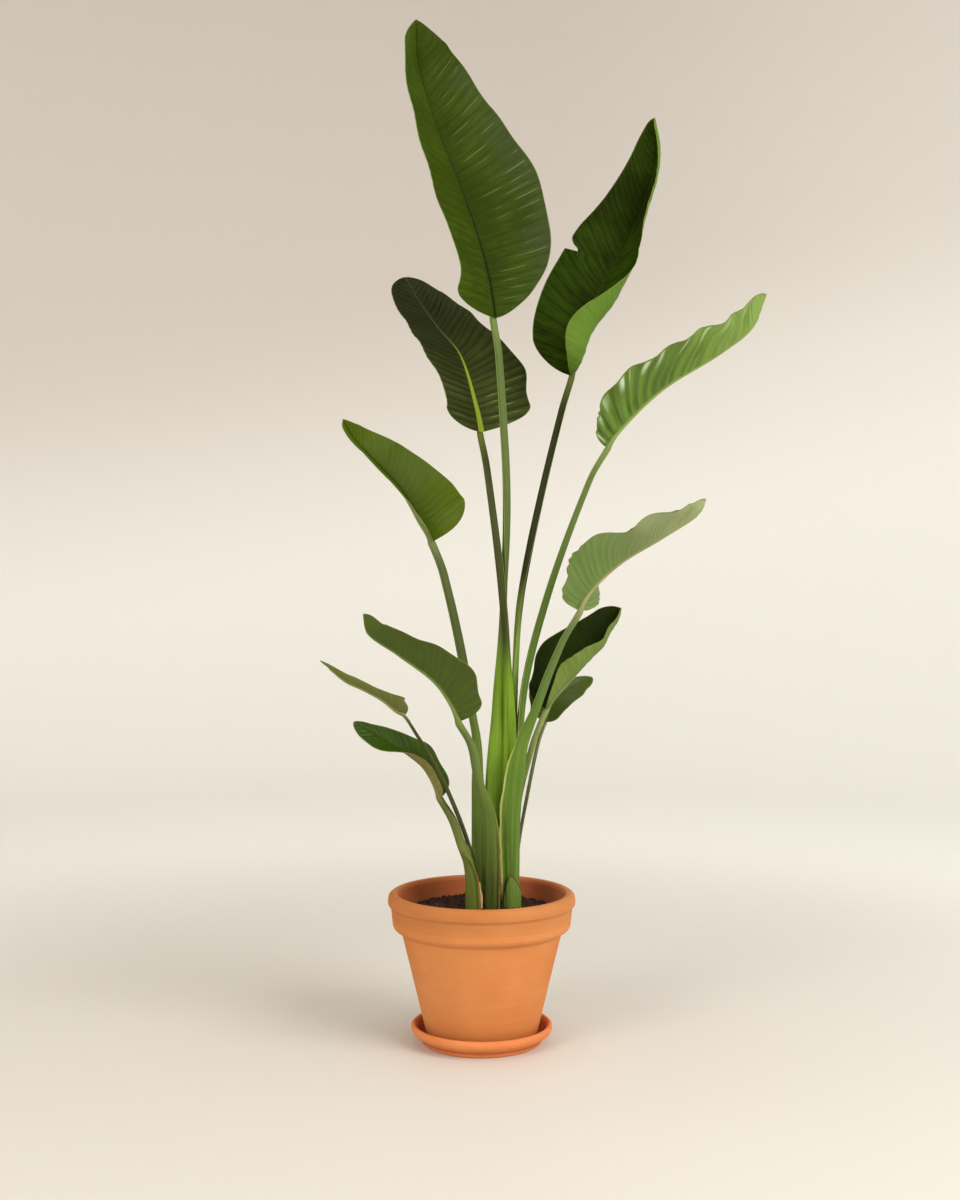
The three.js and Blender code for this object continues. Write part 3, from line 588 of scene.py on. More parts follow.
        slant=(0.9, 1.6), pleats=18, pleatDepth=0.6, gloss=0.06, shine=0.06, streaks=0.25,
        ribHalf=(1.2, 1), ribHeight=-0.6, open=28, fin=(8, 321), kind=("dark", "green"),
        upper=(42, 62, 8), fresh=(54, 80, 12), under=(116, 112, 64), ribPaintAndGrooveShade=(60, 78, 20),
        keel=(124, 120, 70),
        petiole=((84, 98, 32), (86, 100, 36), (70, 80, 32)), petioleRise=(0.3, 0.38),
        lip=((140, 142, 74), (150, 108, 56))),
}

bladeSizes = {
    "Rows": 360, "Columns": 41, "Pleats": 26.0, "Pleat depth": 0.001, "Vein slant": 0.9, "Slant rise": 2.5,
    "Base round": 0.09, "Tip round": 0.1, "Tip bend": 2.0, "Tip power": 0.5, "Unevenness": 1.6,
    "Wave height": 0.0, "Wave count": 5.0, "Wave shift": 0.0, "Rib height": -0.0012, "Least half": 0.0016,
    "Seed": 0.0}
# Crowding draws the rows to both ends, and middleCrowding the columns to the midrib
bladeLook = dict(rowStep=1.5, thickness=0.0009, samples=481, ends=(0.09, 0.1), crowding=0.09,
                 middleCrowding=1.6, unevenness=0.0016, meanCrest=0.64, finerPleats=3, finerDepth=0.22,
                 leastCurl=1e-4, leastRib=0.45)


def buildBladeTree():
    tree, size = geometryTree("blade", bladeSizes)
    curve = Wire(node(tree, "GeometryNodeMeshToCurve", {"Mesh": size["Start"]}).outputs[0])
    grid, x, across = gridOf(tree, size["Rows"], size["Columns"])
    w = across * -1
    isRight = w.calc("GREATER_THAN", 0)
    hand = isRight * 2 - 1
    v = w.calc("ABSOLUTE") ** bladeLook["middleCrowding"]
    even = v
    s = x - sine(x * (2 * math.pi)) * bladeLook["crowding"]
    lead = size["Vein slant"] * (v ** 1.15) * (s ** size["Slant rise"]) * (1 - s)
    t = s + lead  # so the rows of the grid follow the side veins
    place, up, side = along(curve, t), along(curve, t, "up"), along(curve, t, "side")

    def ofHalf(label):
        return between(along(curve, t, label + "Left"), along(curve, t, label + "Right"), isRight)

    v = v * (1 - ofHalf("torn") * v ** 1.5)
    lift, curl = ofHalf("lift"), ofHalf("curl")
    fromBase = atLeast(1 - t / size["Base round"], 0)
    fromTip = atLeast((t - 1 + size["Tip round"]) / size["Tip round"], 0)
    atTip = atLeast(1 - fromTip ** size["Tip bend"], 0) ** size["Tip power"]
    rounding = atLeast(1 - fromBase ** 2, 0) ** 0.5 * atTip
    wide = atLeast(ofHalf("wide") * rounding, size["Least half"])
    lean = lift + curl * v
    out = (sine(lean) - sine(lift)) / curl
    rise = (cosine(lift) - cosine(lean)) / curl
    turn = size["Wave count"] * t * (2 * math.pi) + size["Wave shift"] + isRight * 2
    wave = size["Wave height"] * v * v * sine(turn) * rounding
    surface = place + side * (hand * wide * out) + up * (wide * rise + wave)
    # Side veins lie in the valleys of the pleats, and the pleats are uneven
    lane = joined(tree, s * 6, hand * 3 + size["Seed"], 0.0)
    vein = s * size["Pleats"] + noise(lane, 1.4, 2) * size["Unevenness"]
    ridge = sine(vein * math.pi).calc("ABSOLUTE") - bladeLook["meanCrest"]
    finer = sine(vein * (bladeLook["finerPleats"] * math.pi)).calc("ABSOLUTE") - bladeLook["meanCrest"]
    strength = 0.25 + ramp(noise(joined(tree, s * 9, v * 1.5 + hand * 5, size["Seed"]), 1.0, 2), 0.3, 0.7)
    fade = ramp(v, 0.02, 0.22) * (1 - ramp(v, 0.72, 1.0) * 0.55)
    reach = wide * v
    ribShare = reach / along(curve, t, "ribHalf")
    middle = (ribShare * ribShare * -1).calc("EXPONENT") * size["Rib height"]
    bend = (noise(surface, 14.0, 2) - 0.5) * bladeLook["unevenness"] * ramp(v, 0.05, 0.5)
    pleats = size["Pleat depth"] * (ridge + finer * bladeLook["finerDepth"]) * strength * fade * rounding
    relief = pleats + middle * rounding + bend
    normal = up * cosine(lean) - side * (hand * sine(lean))
    for label, value in {"vein": vein, "fromRib": reach, "ribShare": ribShare,
                         "fromEdge": wide * (1 - even), "share": t, "half": hand}.items():
        grid = stored(grid, label, value)
    return endTree(tree, moved(grid, surface + normal * relief), size["Material"])


# Marks that all the blades have, among them the colours of the painted glints and the painted sheen
bladePaint = dict(
    glint=paint(150, 166, 118), sheenPaint=paint(204, 214, 186), edge=paint(108, 122, 46),
    dryEdge=paint(96, 70, 34), tip=paint(110, 84, 36), margin=paint(104, 122, 44),
    dryMargin=paint(108, 86, 46), edgeWidth=0.0007, edgeSpread=0.0012, edgeShare=0.55, tipFrom=0.985,
    tipShare=0.7, ribFade=(0.75, 0.95), fadedTip=0.75, depth=0.0004)


def bladeFinish(name, base, fresh, ribColour, leaf, upper):
    gloss = leaf.get("gloss", 0.1) if upper else leaf.get("underGloss", 0.02)
    made, tree, shader = newFinish(name, Specular_IOR_Level=leaf.get("shine", 0.12), Coat_Weight=gloss,
                                   Coat_Roughness=0.14)
    place = objectPlace(tree)
    vein, fromRib, ribShare, fromEdge, share, half = (
        carried(tree, label) for label in ("vein", "fromRib", "ribShare", "fromEdge", "share", "half"))
    streaks = noise(joined(tree, vein * 2.2, fromRib * 14, half), 2.0, 4, 0.65)
    clouds = noise(place, 9.0, 3)
    specks = noise(place, 900.0, 2)
    colour = mixed(base, fresh, ramp(clouds * 0.6 + streaks * 0.4, 0.42, 0.62))
    line = vein.calc("PINGPONG", 0.5)
    fineLine = (vein * 5).calc("PINGPONG", 0.5)
    darker, paler = shaded(base, 0.7), shaded(fresh, 1.4, 0.008)
    drawn = leaf.get("veins", 1)
    veinShade = (1 - ramp(line, 0.02, 0.12)) * ((0.5 if upper else 0.3) * drawn)
    colour = mixed(colour, darker if upper else paler, veinShade)
    colour = mixed(colour, paler if upper else darker, (1 - ramp(fineLine, 0.03, 0.25)) * (0.2 * drawn))
    colour = mixed(colour, darker, ramp(streaks, 0.6, 0.75) * (0.45 * drawn))
    crest = sine(vein * math.pi).calc("ABSOLUTE")
    # Painted light and shade on the pleats: crests lighter and valleys darker, as strong as bands
    colour = colour * (1 + (crest - 0.6) * leaf.get("bands", 0.0))
    # Painted glints: short pale streaks along the pleats, in patches, as strong as streaks
    inPatches = ramp(noise(joined(tree, vein * 1.7, fromRib * 16, half * 3), 1.0, 2), 0.46, 0.6)
    inPatches = inPatches * ramp(fromRib, 0.012, 0.03) * ramp(fromEdge, 0.002, 0.012)
    glint = (1 - ramp((vein + 0.42).calc("PINGPONG", 0.5), 0.01, 0.08)) * inPatches
    glint = glint * (half * 0.35 + 0.65) * leaf.get("streaks", 0.0)
    if "streaksTo" in leaf:
        glint = glint * (1 - ramp(share, *leaf["streaksTo"]))
    colour = mixed(colour, bladePaint["glint"], glint)
    # Painted sheen: pale patches on the pleats' crests near the margin
    paintedSheen = ramp(noise(joined(tree, vein * 0.8, half, 0.0), 1.0, 1), 0.44, 0.56) * ramp(crest, 0.7, 1.0)
    paintedSheen = paintedSheen * (1 - ramp(fromEdge, 0.008, 0.026)) * ramp(fromEdge, 0.001, 0.004)
    colour = mixed(colour, bladePaint["sheenPaint"], paintedSheen * leaf.get("paintedSheen", 0.0))
    tipColour, low, high, face = leaf.get("tipPaint", (None, 0, 1, None))
    if face == ("upper" if upper else "under"):
        colour = mixed(colour, paint(*tipColour), ramp(share, low, high) * bladePaint["fadedTip"])
    # The midrib's colour; on leaf_01 and leaf_06 it is darker than the blade, as painted shade in its
    # groove
    ribFade = leaf.get("ribFade", bladePaint["ribFade"])
    ribMask = (1 - ramp(ribShare, 0.75, 1.15)) * (1 - ramp(share, *ribFade) * 0.8)
    colour = mixed(colour, ribColour, ribMask * (1.0 if upper else 0.5))
    edgeWidth = bladePaint["edgeWidth"] + noise(place, 60.0, 2) * bladePaint["edgeSpread"]
    edge = 1 - ramp(fromEdge / edgeWidth, 0.5, 1.4)
    brown = ramp(noise(place, 35.0, 3), 0.5, 0.62)
    edgeColour = mixed(bladePaint["edge"], bladePaint["dryEdge"], brown)
    colour = mixed(colour, edgeColour, edge * bladePaint["edgeShare"])
    tip = ramp(share, bladePaint["tipFrom"], 1.0)
    colour = mixed(colour, bladePaint["tip"], tip * bladePaint["tipShare"])
    roughness = between(0.3 if upper else 0.5, 0.44 if upper else 0.62, ramp(clouds, 0.35, 0.65))
    height = ramp(line, 0.0, 0.2) * 0.6 + ramp(fineLine, 0.0, 0.3) * 0.22 + specks * 0.1 + streaks * 0.25
    dressed(shader, colour, height, bladePaint["depth"], roughness)
    return made


def edgeFinish():
    made, tree, shader = newFinish("leaf margin", Specular_IOR_Level=0.35, Roughness=0.55)
    place = objectPlace(tree)
    brown = ramp(noise(place, 35.0, 3), 0.48, 0.62)
    colour = mixed(bladePaint["margin"], bladePaint["dryMargin"], brown)
    dressed(shader, colour, noise(place, 700.0, 2), 0.0002)
    return made


def halfOf(leaf, half, t):  # one half of a blade from base to tip: its width, tear, lift and curl
    shape = leaf[half]
    wide = smooth(shape["wide"], t) * mm
    for frayedHalf, low, high, deep, count in leaf.get("frayed", ()):
        if frayedHalf == half:
            reach = np.clip((t - low) / (high - low), 0, 1)
            teeth = np.abs((reach * count + 0.3 * np.sin(reach * 9)) % 1 - 0.35)
            wide = wide - deep * mm * teeth * 1.5 * np.sin(math.pi * reach) ** 0.3
    torn = np.zeros(len(t))
    if leaf.get("tear", ("",))[0] == half:
        _, at, deep, below, above = leaf["tear"]
        lower = np.clip(1 - (at - t) / below, 0, 1) * (t <= at)
        upper = (1 - np.sqrt(1 - np.clip(1 - (t - at) / above, 0, 1) ** 2)) * (t > at)
        torn = deep * (lower + upper)
    curl = np.radians(smooth(shape.get("curl", [0]), t))
    curl = np.where(np.abs(curl) < bladeLook["leastCurl"], bladeLook["leastCurl"], curl)
    return {"wide": wide, "torn": torn, "lift": np.radians(smooth(shape["lift"], t)), "curl": curl}


def buildBlade(name, leaf, tree, margin, seed):
    spine, look = Spine(leaf), bladeLook
    t = np.linspace(0, 1, look["samples"])
    place, up, side = spine.onRib(t)
    ribHalf, ribTaper = leaf["ribHalf"]
    values = {"up": up, "side": side, "ribHalf": (ribHalf * (1 - t) ** ribTaper + look["leastRib"]) * mm}
    for half in ("left", "right"):
        values.update({label + half.capitalize(): data for label, data in halfOf(leaf, half, t).items()})
    baseRound, tipRound = leaf.get("ends", look["ends"])
    high, count, shift = leaf.get("wave", (0, 1, 0))
    point = leaf.get("point", 0)
    sizes = {
        "Rows": int(spine.ribLength / look["rowStep"]), "Pleats": float(leaf["pleats"]),
        "Pleat depth": leaf["pleatDepth"] * mm, "Unevenness": leaf.get("uneven", bladeSizes["Unevenness"]),
        "Vein slant": leaf["slant"][0], "Slant rise": leaf["slant"][1], "Base round": baseRound,
        "Tip round": tipRound, "Tip bend": 2 - 0.7 * point, "Tip power": 0.5 + 0.4 * point,
        "Wave height": high * mm, "Wave count": float(count), "Wave shift": float(shift),
        "Rib height": leaf["ribHeight"] * mm, "Seed": float(seed)}
    upper = bladeFinish(name + " upper", paint(*leaf["upper"]), paint(*leaf["fresh"]),
                        paint(*leaf["ribPaintAndGrooveShade"]), leaf, True)
    pale = paint(*(min(value * 1.1, 255) for value in leaf["under"]))
    under = bladeFinish(name + " under", paint(*leaf["under"]), pale, paint(*leaf["keel"]), leaf, False)
    blade = grown(name + "_surface", lineMesh(name + " rib line", place * mm, values), tree, sizes, upper)
    blade.data.materials.append(under)
    blade.data.materials.append(margin)
    slab = blade.modifiers.new("slab", "SOLIDIFY")
    slab.thickness = look["thickness"]
    slab.offset = 0
    slab.material_offset = 1
    slab.material_offset_rim = 2
    smoothed(settled(blade))
    return fit(blade, leaf["kind"][0] + "_blade", name + "_blade")


stalkSizes = {"Sides": 51, "Rows": 200, "Ridge height": 0.00016, "Ridges": 14.0, "Ragged": 0.35}
# turns: where each stretch of half the stalk's ring begins, and how many degrees it turns through
stalkLook = dict(rowStep=4, samples=260, ribSamples=81, ribEnd=0.9, ribTip=0.7, ribTaper=1.5,
                 ribShare=0.38, ribSlimming=14, riseToBase=60, sink=0.55, channelTop=0.3, channelFoot=0.7,
                 lip=0.7, finRise=22, swingFrom=0.3, swingOver=0.6, keelFrom=0.94, keelOver=0.06,
                 turns=((0, 100), (0.6, 4), (0.72, 6), (0.84, 70), (1, 0)))


def buildStalkTree():
    tree, size = geometryTree("stalk", stalkSizes)
    curve = Wire(node(tree, "GeometryNodeMeshToCurve", {"Mesh": size["Start"]}).outputs[0])
    grid, share, y = gridOf(tree, size["Rows"], size["Sides"])
    hand = y.calc("SIGN")
    around = y.calc("ABSOLUTE")
    steps = [rising(around, a[0], b[0]) for a, b in zip(stalkLook["turns"], stalkLook["turns"][1:])]
    angles = [math.radians(degrees) for _, degrees in stalkLook["turns"]]
    turn = sum((step * angle for step, angle in zip(steps[1:], angles[1:])), steps[0] * angles[0])
    lip = steps[1] - steps[2]  # 1 on the edge of each thin wing beside the channel, 0 elsewhere
    place, up, side, opening, cross = (
        along(curve, share, label) for label in (None, "up", "side", "open", "cross"))
    broad, deep, dent, fin = (along(curve, share, label) for label in ("broad", "deep", "dent", "fin"))
    length, height = along(curve, share, "length"), along(curve, share, "height")
    outwards = cross * (sine(turn) * hand) - opening * cosine(turn)
    ring = side * (outwards.calc("DOT_PRODUCT", side) * broad * 0.5)
    ring = ring + up * (outwards.calc("DOT_PRODUCT", up) * deep * 0.5)
    cut = steps[3] * steps[3] * (3 - 2 * steps[3])
    back = ramp(broad, 0.0, 0.004) * (1 - lip) * (1 - cut)
    ridge = outwards * (cosine(turn * size["Ridges"]) * size["Ridge height"] * back)
    tatter = 1 + (noise(joined(tree, length * 90, hand * 4, 0.0), 1.0, 3, 0.7) - 0.5) * size["Ragged"] * 2
    curlIn = (noise(joined(tree, length * 30, hand * 7, 2.0), 1.0, 2) - 0.2) * 1.2
    wing = (cross * (hand * 0.85) + opening * curlIn) * (fin * lip * tatter)
    keel = along(curve, share, "keel")
    for label, value in {"toward": cosine(turn) * -1, "turn": turn * hand, "lip": lip, "length": length,
                         "height": height, "keel": keel}.items():
        grid = stored(grid, label, value)
    stalk = moved(grid, place + ring + ridge + wing - opening * (cut * dent * deep))
    return endTree(tree, welded(stalk, 1e-6), size["Material"])


def stalkFinish(name, leaf):
    made, tree, shader = newFinish(name, Specular_IOR_Level=leaf.get("stalkShine", 0.16), Coat_Weight=0.04,
                                   Coat_Roughness=0.25)
    place = objectPlace(tree)
    toward, turn, lip, length, height, keel = (
        carried(tree, label) for label in ("toward", "turn", "lip", "length", "height", "keel"))
    fibres = noise(joined(tree, cosine(turn) * 5, sine(turn) * 5, length * 9), 5.0, 4, 0.6)
    clouds = noise(place, 12.0, 3)
    foot, middle, top = (paint(*colour) for colour in leaf["petiole"])
    low, high = leaf["petioleRise"]
    colour = mixed(foot, middle, ramp(height, 0.24, low))
    colour = mixed(colour, top, ramp(height, low, high))
    bands = noise(joined(tree, cosine(turn) * 1.6, sine(turn) * 1.6, length * 3), 2.0, 2)
    yellow = ramp(bands, 0.5, 0.62) * (1 - ramp(height, 0.32, 0.6)) * 0.15
    colour = mixed(colour, paint(*leaf["lip"][0]), yellow)
    colour = mixed(colour, paint(*leaf["keel"]), keel)
    colour = colour * (1 - ramp(fibres, 0.5, 0.72) * 0.28)
    colour = colour * (1 + ramp(clouds, 0.5, 0.7) * 0.12 + ramp(toward, 0.35, 0.7) * 0.2)
    dry = ramp(noise(joined(tree, length * 30, turn, 1.0), 1.0, 4, 0.7), 0.4, 0.6)
    lipColour = mixed(paint(*leaf["lip"][0]), paint(*leaf["lip"][1]), dry * (1 - ramp(height, 0.3, 0.5)))
    colour = mixed(colour, lipColour, ramp(lip, 0.25, 0.8) * 0.9)
    roughness = between(0.4, 0.55, ramp(clouds, 0.35, 0.65))
    dressed(shader, colour, fibres * 0.7 + noise(place, 800.0, 2) * 0.15, 0.0004, roughness)
    return made


def girthOf(leaf, share):
    rows = np.array(leaf["girth"], float)
    i = np.clip(np.searchsorted(rows[:, 0], share, side="left"), 1, len(rows) - 1)
    f = np.clip((share - rows[i - 1, 0]) / (rows[i, 0] - rows[i - 1, 0]), 0, 1)
    f = (f * f * (3 - 2 * f))[:, None]
    return rows[i - 1, 1:] * (1 - f) + rows[i, 1:] * f


def buildStalk(name, leaf, tree):
    spine, look = Spine(leaf), stalkLook
    share = np.linspace(0, 1, look["samples"])
    place, up, side = spine.onStalk(share)
    girth = girthOf(leaf, share)
    toBase = np.clip((1 - share) * spine.stalkLength / look["riseToBase"], 0, 1)
    under = 1 - toBase * toBase * (3 - 2 * toBase)
    t = np.linspace(0, 1, look["ribSamples"])[1:]
    ribPlace, ribUp, ribSide = spine.onRib(t * look["ribEnd"])
    slimmer = look["ribShare"] + (1 - look["ribShare"]) * np.exp(-t * look["ribSlimming"])
    taper = (slimmer * (1 - t) ** look["ribTaper"])[:, None]
    ribGirth = 2 * look["ribTip"] + (girth[-1] - 2 * look["ribTip"]) * taper
    place, up, side = (np.vstack(pair) for pair in ((place, ribPlace), (up, ribUp), (side, ribSide)))
    girth = np.vstack([girth, ribGirth])
    under = np.concatenate([under, np.ones(len(t))])
    place = place - up * (under * (girth[:, 1] / 2 + look["sink"]))[:, None]
    stalkShare = np.concatenate([share, np.ones(len(t))])
    angle = math.radians(leaf["open"])
    atFoot = np.array([math.cos(angle), math.sin(angle), 0.0])
    swing = np.clip((stalkShare - look["swingFrom"]) / look["swingOver"], 0, 1)
    swing = (swing * swing * (3 - 2 * swing))[:, None]
    forward = np.cross(up, side)
    opening = atFoot * (1 - swing) + up * swing
    opening = unit(opening - np.sum(opening * forward, 1, keepdims=True) * forward)
    halfUp = np.clip(stalkShare / 0.5, 0, 1)
    dent = look["channelFoot"] + (look["channelTop"] - look["channelFoot"]) * halfUp
    dent = dent * (1 - under) * 0.5
    width, finTop = leaf["fin"]
    below = np.clip(finTop - place[:, 2], 0, None)
    fin = look["lip"] * (1 - under) + width * (1 - np.exp(-below / look["finRise"]))
    girth[[0, -1]] = 0
    fin[[0, -1]] = 0
    steps = np.linalg.norm(np.diff(place, axis=0), axis=1)
    length = np.concatenate([[0], np.cumsum(steps)]) * mm
    nearBase = np.clip((share - look["keelFrom"]) / look["keelOver"], 0, 1)
    keel = np.concatenate([nearBase * 0.5, np.clip(0.5 + t * 5, 0, 1)])
    values = {"up": up, "side": side, "open": opening, "cross": np.cross(forward, opening),
              "broad": girth[:, 0] * mm, "deep": girth[:, 1] * mm, "dent": dent, "fin": fin * mm,
              "length": length, "height": place[:, 2] * mm, "keel": keel}
    rows = int(length[-1] / mm / look["rowStep"])
    line = lineMesh(name + " stalk line", place * mm, values)
    stalk = grown(name + "_petiole", line, tree, {"Rows": rows}, stalkFinish(name + " petiole", leaf))
    return fit(smoothed(outward(stalk)), leaf["kind"][1] + "_stalk", name + "_stalk")


# What is left of old leaves: a cut stub and a dry, papery sheath
sheaths = {
    "cut_sheath": dict(
        centre=(46, -14), radii=(16, 13), turn=(190, 350), foot=170, thick=2.2, ragged=1.6,
        top=(216, 222, 236, 258, 272, 268, 258, 250, 246), fresh=paint(94, 120, 40),
        dry=paint(84, 56, 34), dryBelow=0.003, slot="green_stalk"),
    "dry_sheath": dict(
        centre=(-16, -32), radii=(17.5, 12.5), turn=(312, 350), foot=175, thick=0.8, ragged=3,
        top=(262, 236), fresh=paint(176, 150, 100), dry=paint(196, 166, 116), dryBelow=0.03,
        slot="dry_husk"),
}
sheathLook = dict(columns=60, rows=26, folds=22, foldDepth=0.35, side=paint(186, 186, 112),
                  sideWidth=(0.0008, 0.0022), fibreScale=700.0, depth=0.0005)


def sheathFinish(name, size):  # dry down to so far below its torn top
    made, tree, shader = newFinish(name, Specular_IOR_Level=0.3, Roughness=0.6)
    place = objectPlace(tree)
    x, y, z = parts(place)
    fibres = noise(joined(tree, x, y, z * 0.06), sheathLook["fibreScale"], 3, 0.6)
    clouds = noise(place, 60.0, 3)
    below = carried(tree, "fromTop") + (clouds - 0.5) * 0.004
    colour = mixed(size["dry"], size["fresh"], ramp(below, size["dryBelow"] * 0.5, size["dryBelow"]))
    colour = mixed(sheathLook["side"], colour, ramp(carried(tree, "fromSide"), *sheathLook["sideWidth"]))
    colour = mixed(colour, shaded(size["dry"], 0.5), ramp(fibres, 0.55, 0.75) * 0.45)
    dressed(shader, colour, fibres, sheathLook["depth"])
    return made


def buildSheath(name, size):
    columns, rows = sheathLook["columns"], sheathLook["rows"]
    f = np.linspace(0, 1, columns + 1)[None, :]
    g = np.linspace(0, 1, rows + 1)[:, None]
    angle = np.radians(size["turn"][0] + (size["turn"][1] - size["turn"][0]) * f)
    tatters = 0.6 * np.sin(61 * f) * np.sin(23 * f + 1) + 0.4 * np.sin(97 * f + 2)
    head = smooth(size["top"], f[0])[None, :]
    head = head + size["ragged"] * (np.sin(7 * f + 3 * f * f) + 0.5 * tatters)
    z = size["foot"] + (head - size["foot"]) * g
    fold = sheathLook["foldDepth"] * np.sin(angle * sheathLook["folds"]) * g
    x = size["centre"][0] + (size["radii"][0] + fold) * np.cos(angle) + 0 * g
    y = size["centre"][1] + (size["radii"][1] + fold) * np.sin(angle) + 0 * g
    points = np.stack([x, y, z + 0 * x], 2).reshape(-1, 3) * mm
    across = columns + 1
    faces = [(i * across + j, i * across + j + 1, (i + 1) * across + j + 1, (i + 1) * across + j)
             for i in range(rows) for j in range(columns)]
    mesh = bpy.data.meshes.new(name)
    mesh.from_pydata(points.tolist(), [], faces)
    sideways = f * np.radians(size["turn"][1] - size["turn"][0]) * size["radii"][0]
    for label, data in (("fromTop", head - z), ("fromSide", sideways + 0 * g)):
        mesh.attributes.new(label, "FLOAT", "POINT").data.foreach_set("value", data.ravel() * mm)
    piece = bpy.data.objects.new(name + "_remnant", mesh)
    bpy.context.scene.collection.objects.link(piece)
    mesh.materials.append(sheathFinish(name.replace("_", " "), size))
    wall = piece.modifiers.new("wall", "SOLIDIFY")
    wall.thickness = size["thick"] * mm
    wall.offset = 0
    smoothed(outward(settled(piece)))
    return fit(piece, size["slot"], name)


# Pot, saucer and soil are turned: a profile of radius, height and corner rounding, in millimetres
potProfile = [
    (13, 8.35, 1), (86, 8.35, 2), (88, 11, 2), (128, 176, 1.5), (132, 178.5, 3), (139.5, 183.5, 4),
    (142, 188, 4), (143.2, 197.2, 0.5), (142.7, 197.9, 0.3), (143.3, 198.6, 0.5), (145, 216.5, 1.5),
    (146.3, 218.6, 1), (149.4, 221.5, 3), (150, 227, 6), (148.6, 235.5, 5), (142.5, 240, 5),
    (136, 239.6, 3), (132.2, 234, 4), (130, 219, 6), (79, 20.35, 3), (13, 20.35, 1), (13, 8.35, 0)]
saucerProfile = [
    (0, 0, 0), (93, 0, 1), (96, 1.6, 2), (98.5, 6.2, 1), (98.2, 7, 0.5), (99.5, 8.2, 1), (111, 18, 3),
    (113, 23, 2), (112.6, 28, 2), (110, 30, 1.6), (107, 29.6, 1.5), (105, 27, 2), (97, 12.5, 3),
    (91, 8, 2), (0, 8, 0)]
turnedSizes = {"Segments": 257, "Corner steps": 5, "Throwing lines": 0.0003, "Wobble": 0.0004}
turnedStep = 5  # between the points of a straight stretch, so that it can ripple


def buildTurnedTree():
    tree, size = geometryTree("turned clay", turnedSizes)
    curve = Wire(node(tree, "GeometryNodeMeshToCurve", {"Mesh": size["Start"]}).outputs[0])
    radius = node(tree, "GeometryNodeInputNamedAttribute", {"Name": "corner"}, data_type="FLOAT")
    fillet = node(tree, "GeometryNodeFilletCurve",
                  {"Curve": curve, "Radius": Wire(radius.outputs["Attribute"]), "Limit Radius": True,
                   "Count": size["Corner steps"]}, mode="POLY")
    profile = Wire(fillet.outputs[0])
    count = node(tree, "GeometryNodeAttributeDomainSize", {"Geometry": profile}, component="CURVE")
    points = Wire(count.outputs["Point Count"])
    grid, x, y = gridOf(tree, points, size["Segments"])
    sample = node(tree, "GeometryNodeSampleIndex", {"Geometry": profile}, data_type="FLOAT_VECTOR",
                  domain="POINT")
    plug(Wire(tree.nodes.new("GeometryNodeInputPosition").outputs[0]), sample.inputs["Value"])
    plug((x * (points - 1) + 0.5).calc("FLOOR"), sample.inputs["Index"])
    r, _, z = parts(Wire(sample.outputs[0]))
    turn = y * math.pi
    lines = (noise(joined(tree, 0.0, 0.0, z), 190.0, 3) - 0.5) * size["Throwing lines"] * 2
    wobble = (noise(joined(tree, cosine(turn), sine(turn), z * 6), 0.9, 2) - 0.5) * size["Wobble"] * 2
    real = r + (lines + wobble) * ramp(r, 0.02, 0.06)
    turned = moved(grid, joined(tree, real * cosine(turn), real * sine(turn), z))
    return endTree(tree, welded(turned, 1e-6), size["Material"])


def turnedPiece(name, profile, tree, finish, slot, target):
    points = np.array([(r, 0, z) for r, z, _ in profile]) * mm
    line = lineMesh(name + " profile", points, {"corner": np.array([c for _, _, c in profile]) * mm})
    piece = grown(name, line, tree, {}, finish)
    return fit(smoothed(outward(piece), 35), slot, target)


def refined(profile, step):  # more points along the straight stretches
    made = [profile[0]]
    for before, after in zip(profile, profile[1:]):
        count = max(1, round(math.dist(before[:2], after[:2]) / step))
        for i in range(1, count):
            r, z = (a + (b - a) * (i / count) for a, b in zip(before[:2], after[:2]))
            made.append((r, z, 0))
        made.append(after)
    return made


# Soil: a low mound with crumbs of bark and peat on it
soilLook = dict(edge=126.2, edgeHeight=207, rise=13, steps=56, floorRadius=78.5, floorHeight=20.7,
                crumbs=52000.0, seed=7, smallest=0.0009, largest=0.0036, lumps=0.005,
                dark=paint(46, 30, 22), light=paint(78, 52, 36), shade=paint(24, 16, 12),
                bark=paint(112, 82, 56), depth=0.0012)


def soilProfile():
    look = soilLook
    rows = [(0, look["floorHeight"], 0), (look["floorRadius"], look["floorHeight"], 0),
            (look["edge"], look["edgeHeight"], 0)]
    for i in range(look["steps"] - 1, -1, -1):
        share = i / look["steps"]
        rows.append((look["edge"] * share, look["edgeHeight"] + look["rise"] * (1 - share ** 2), 0))
    return rows


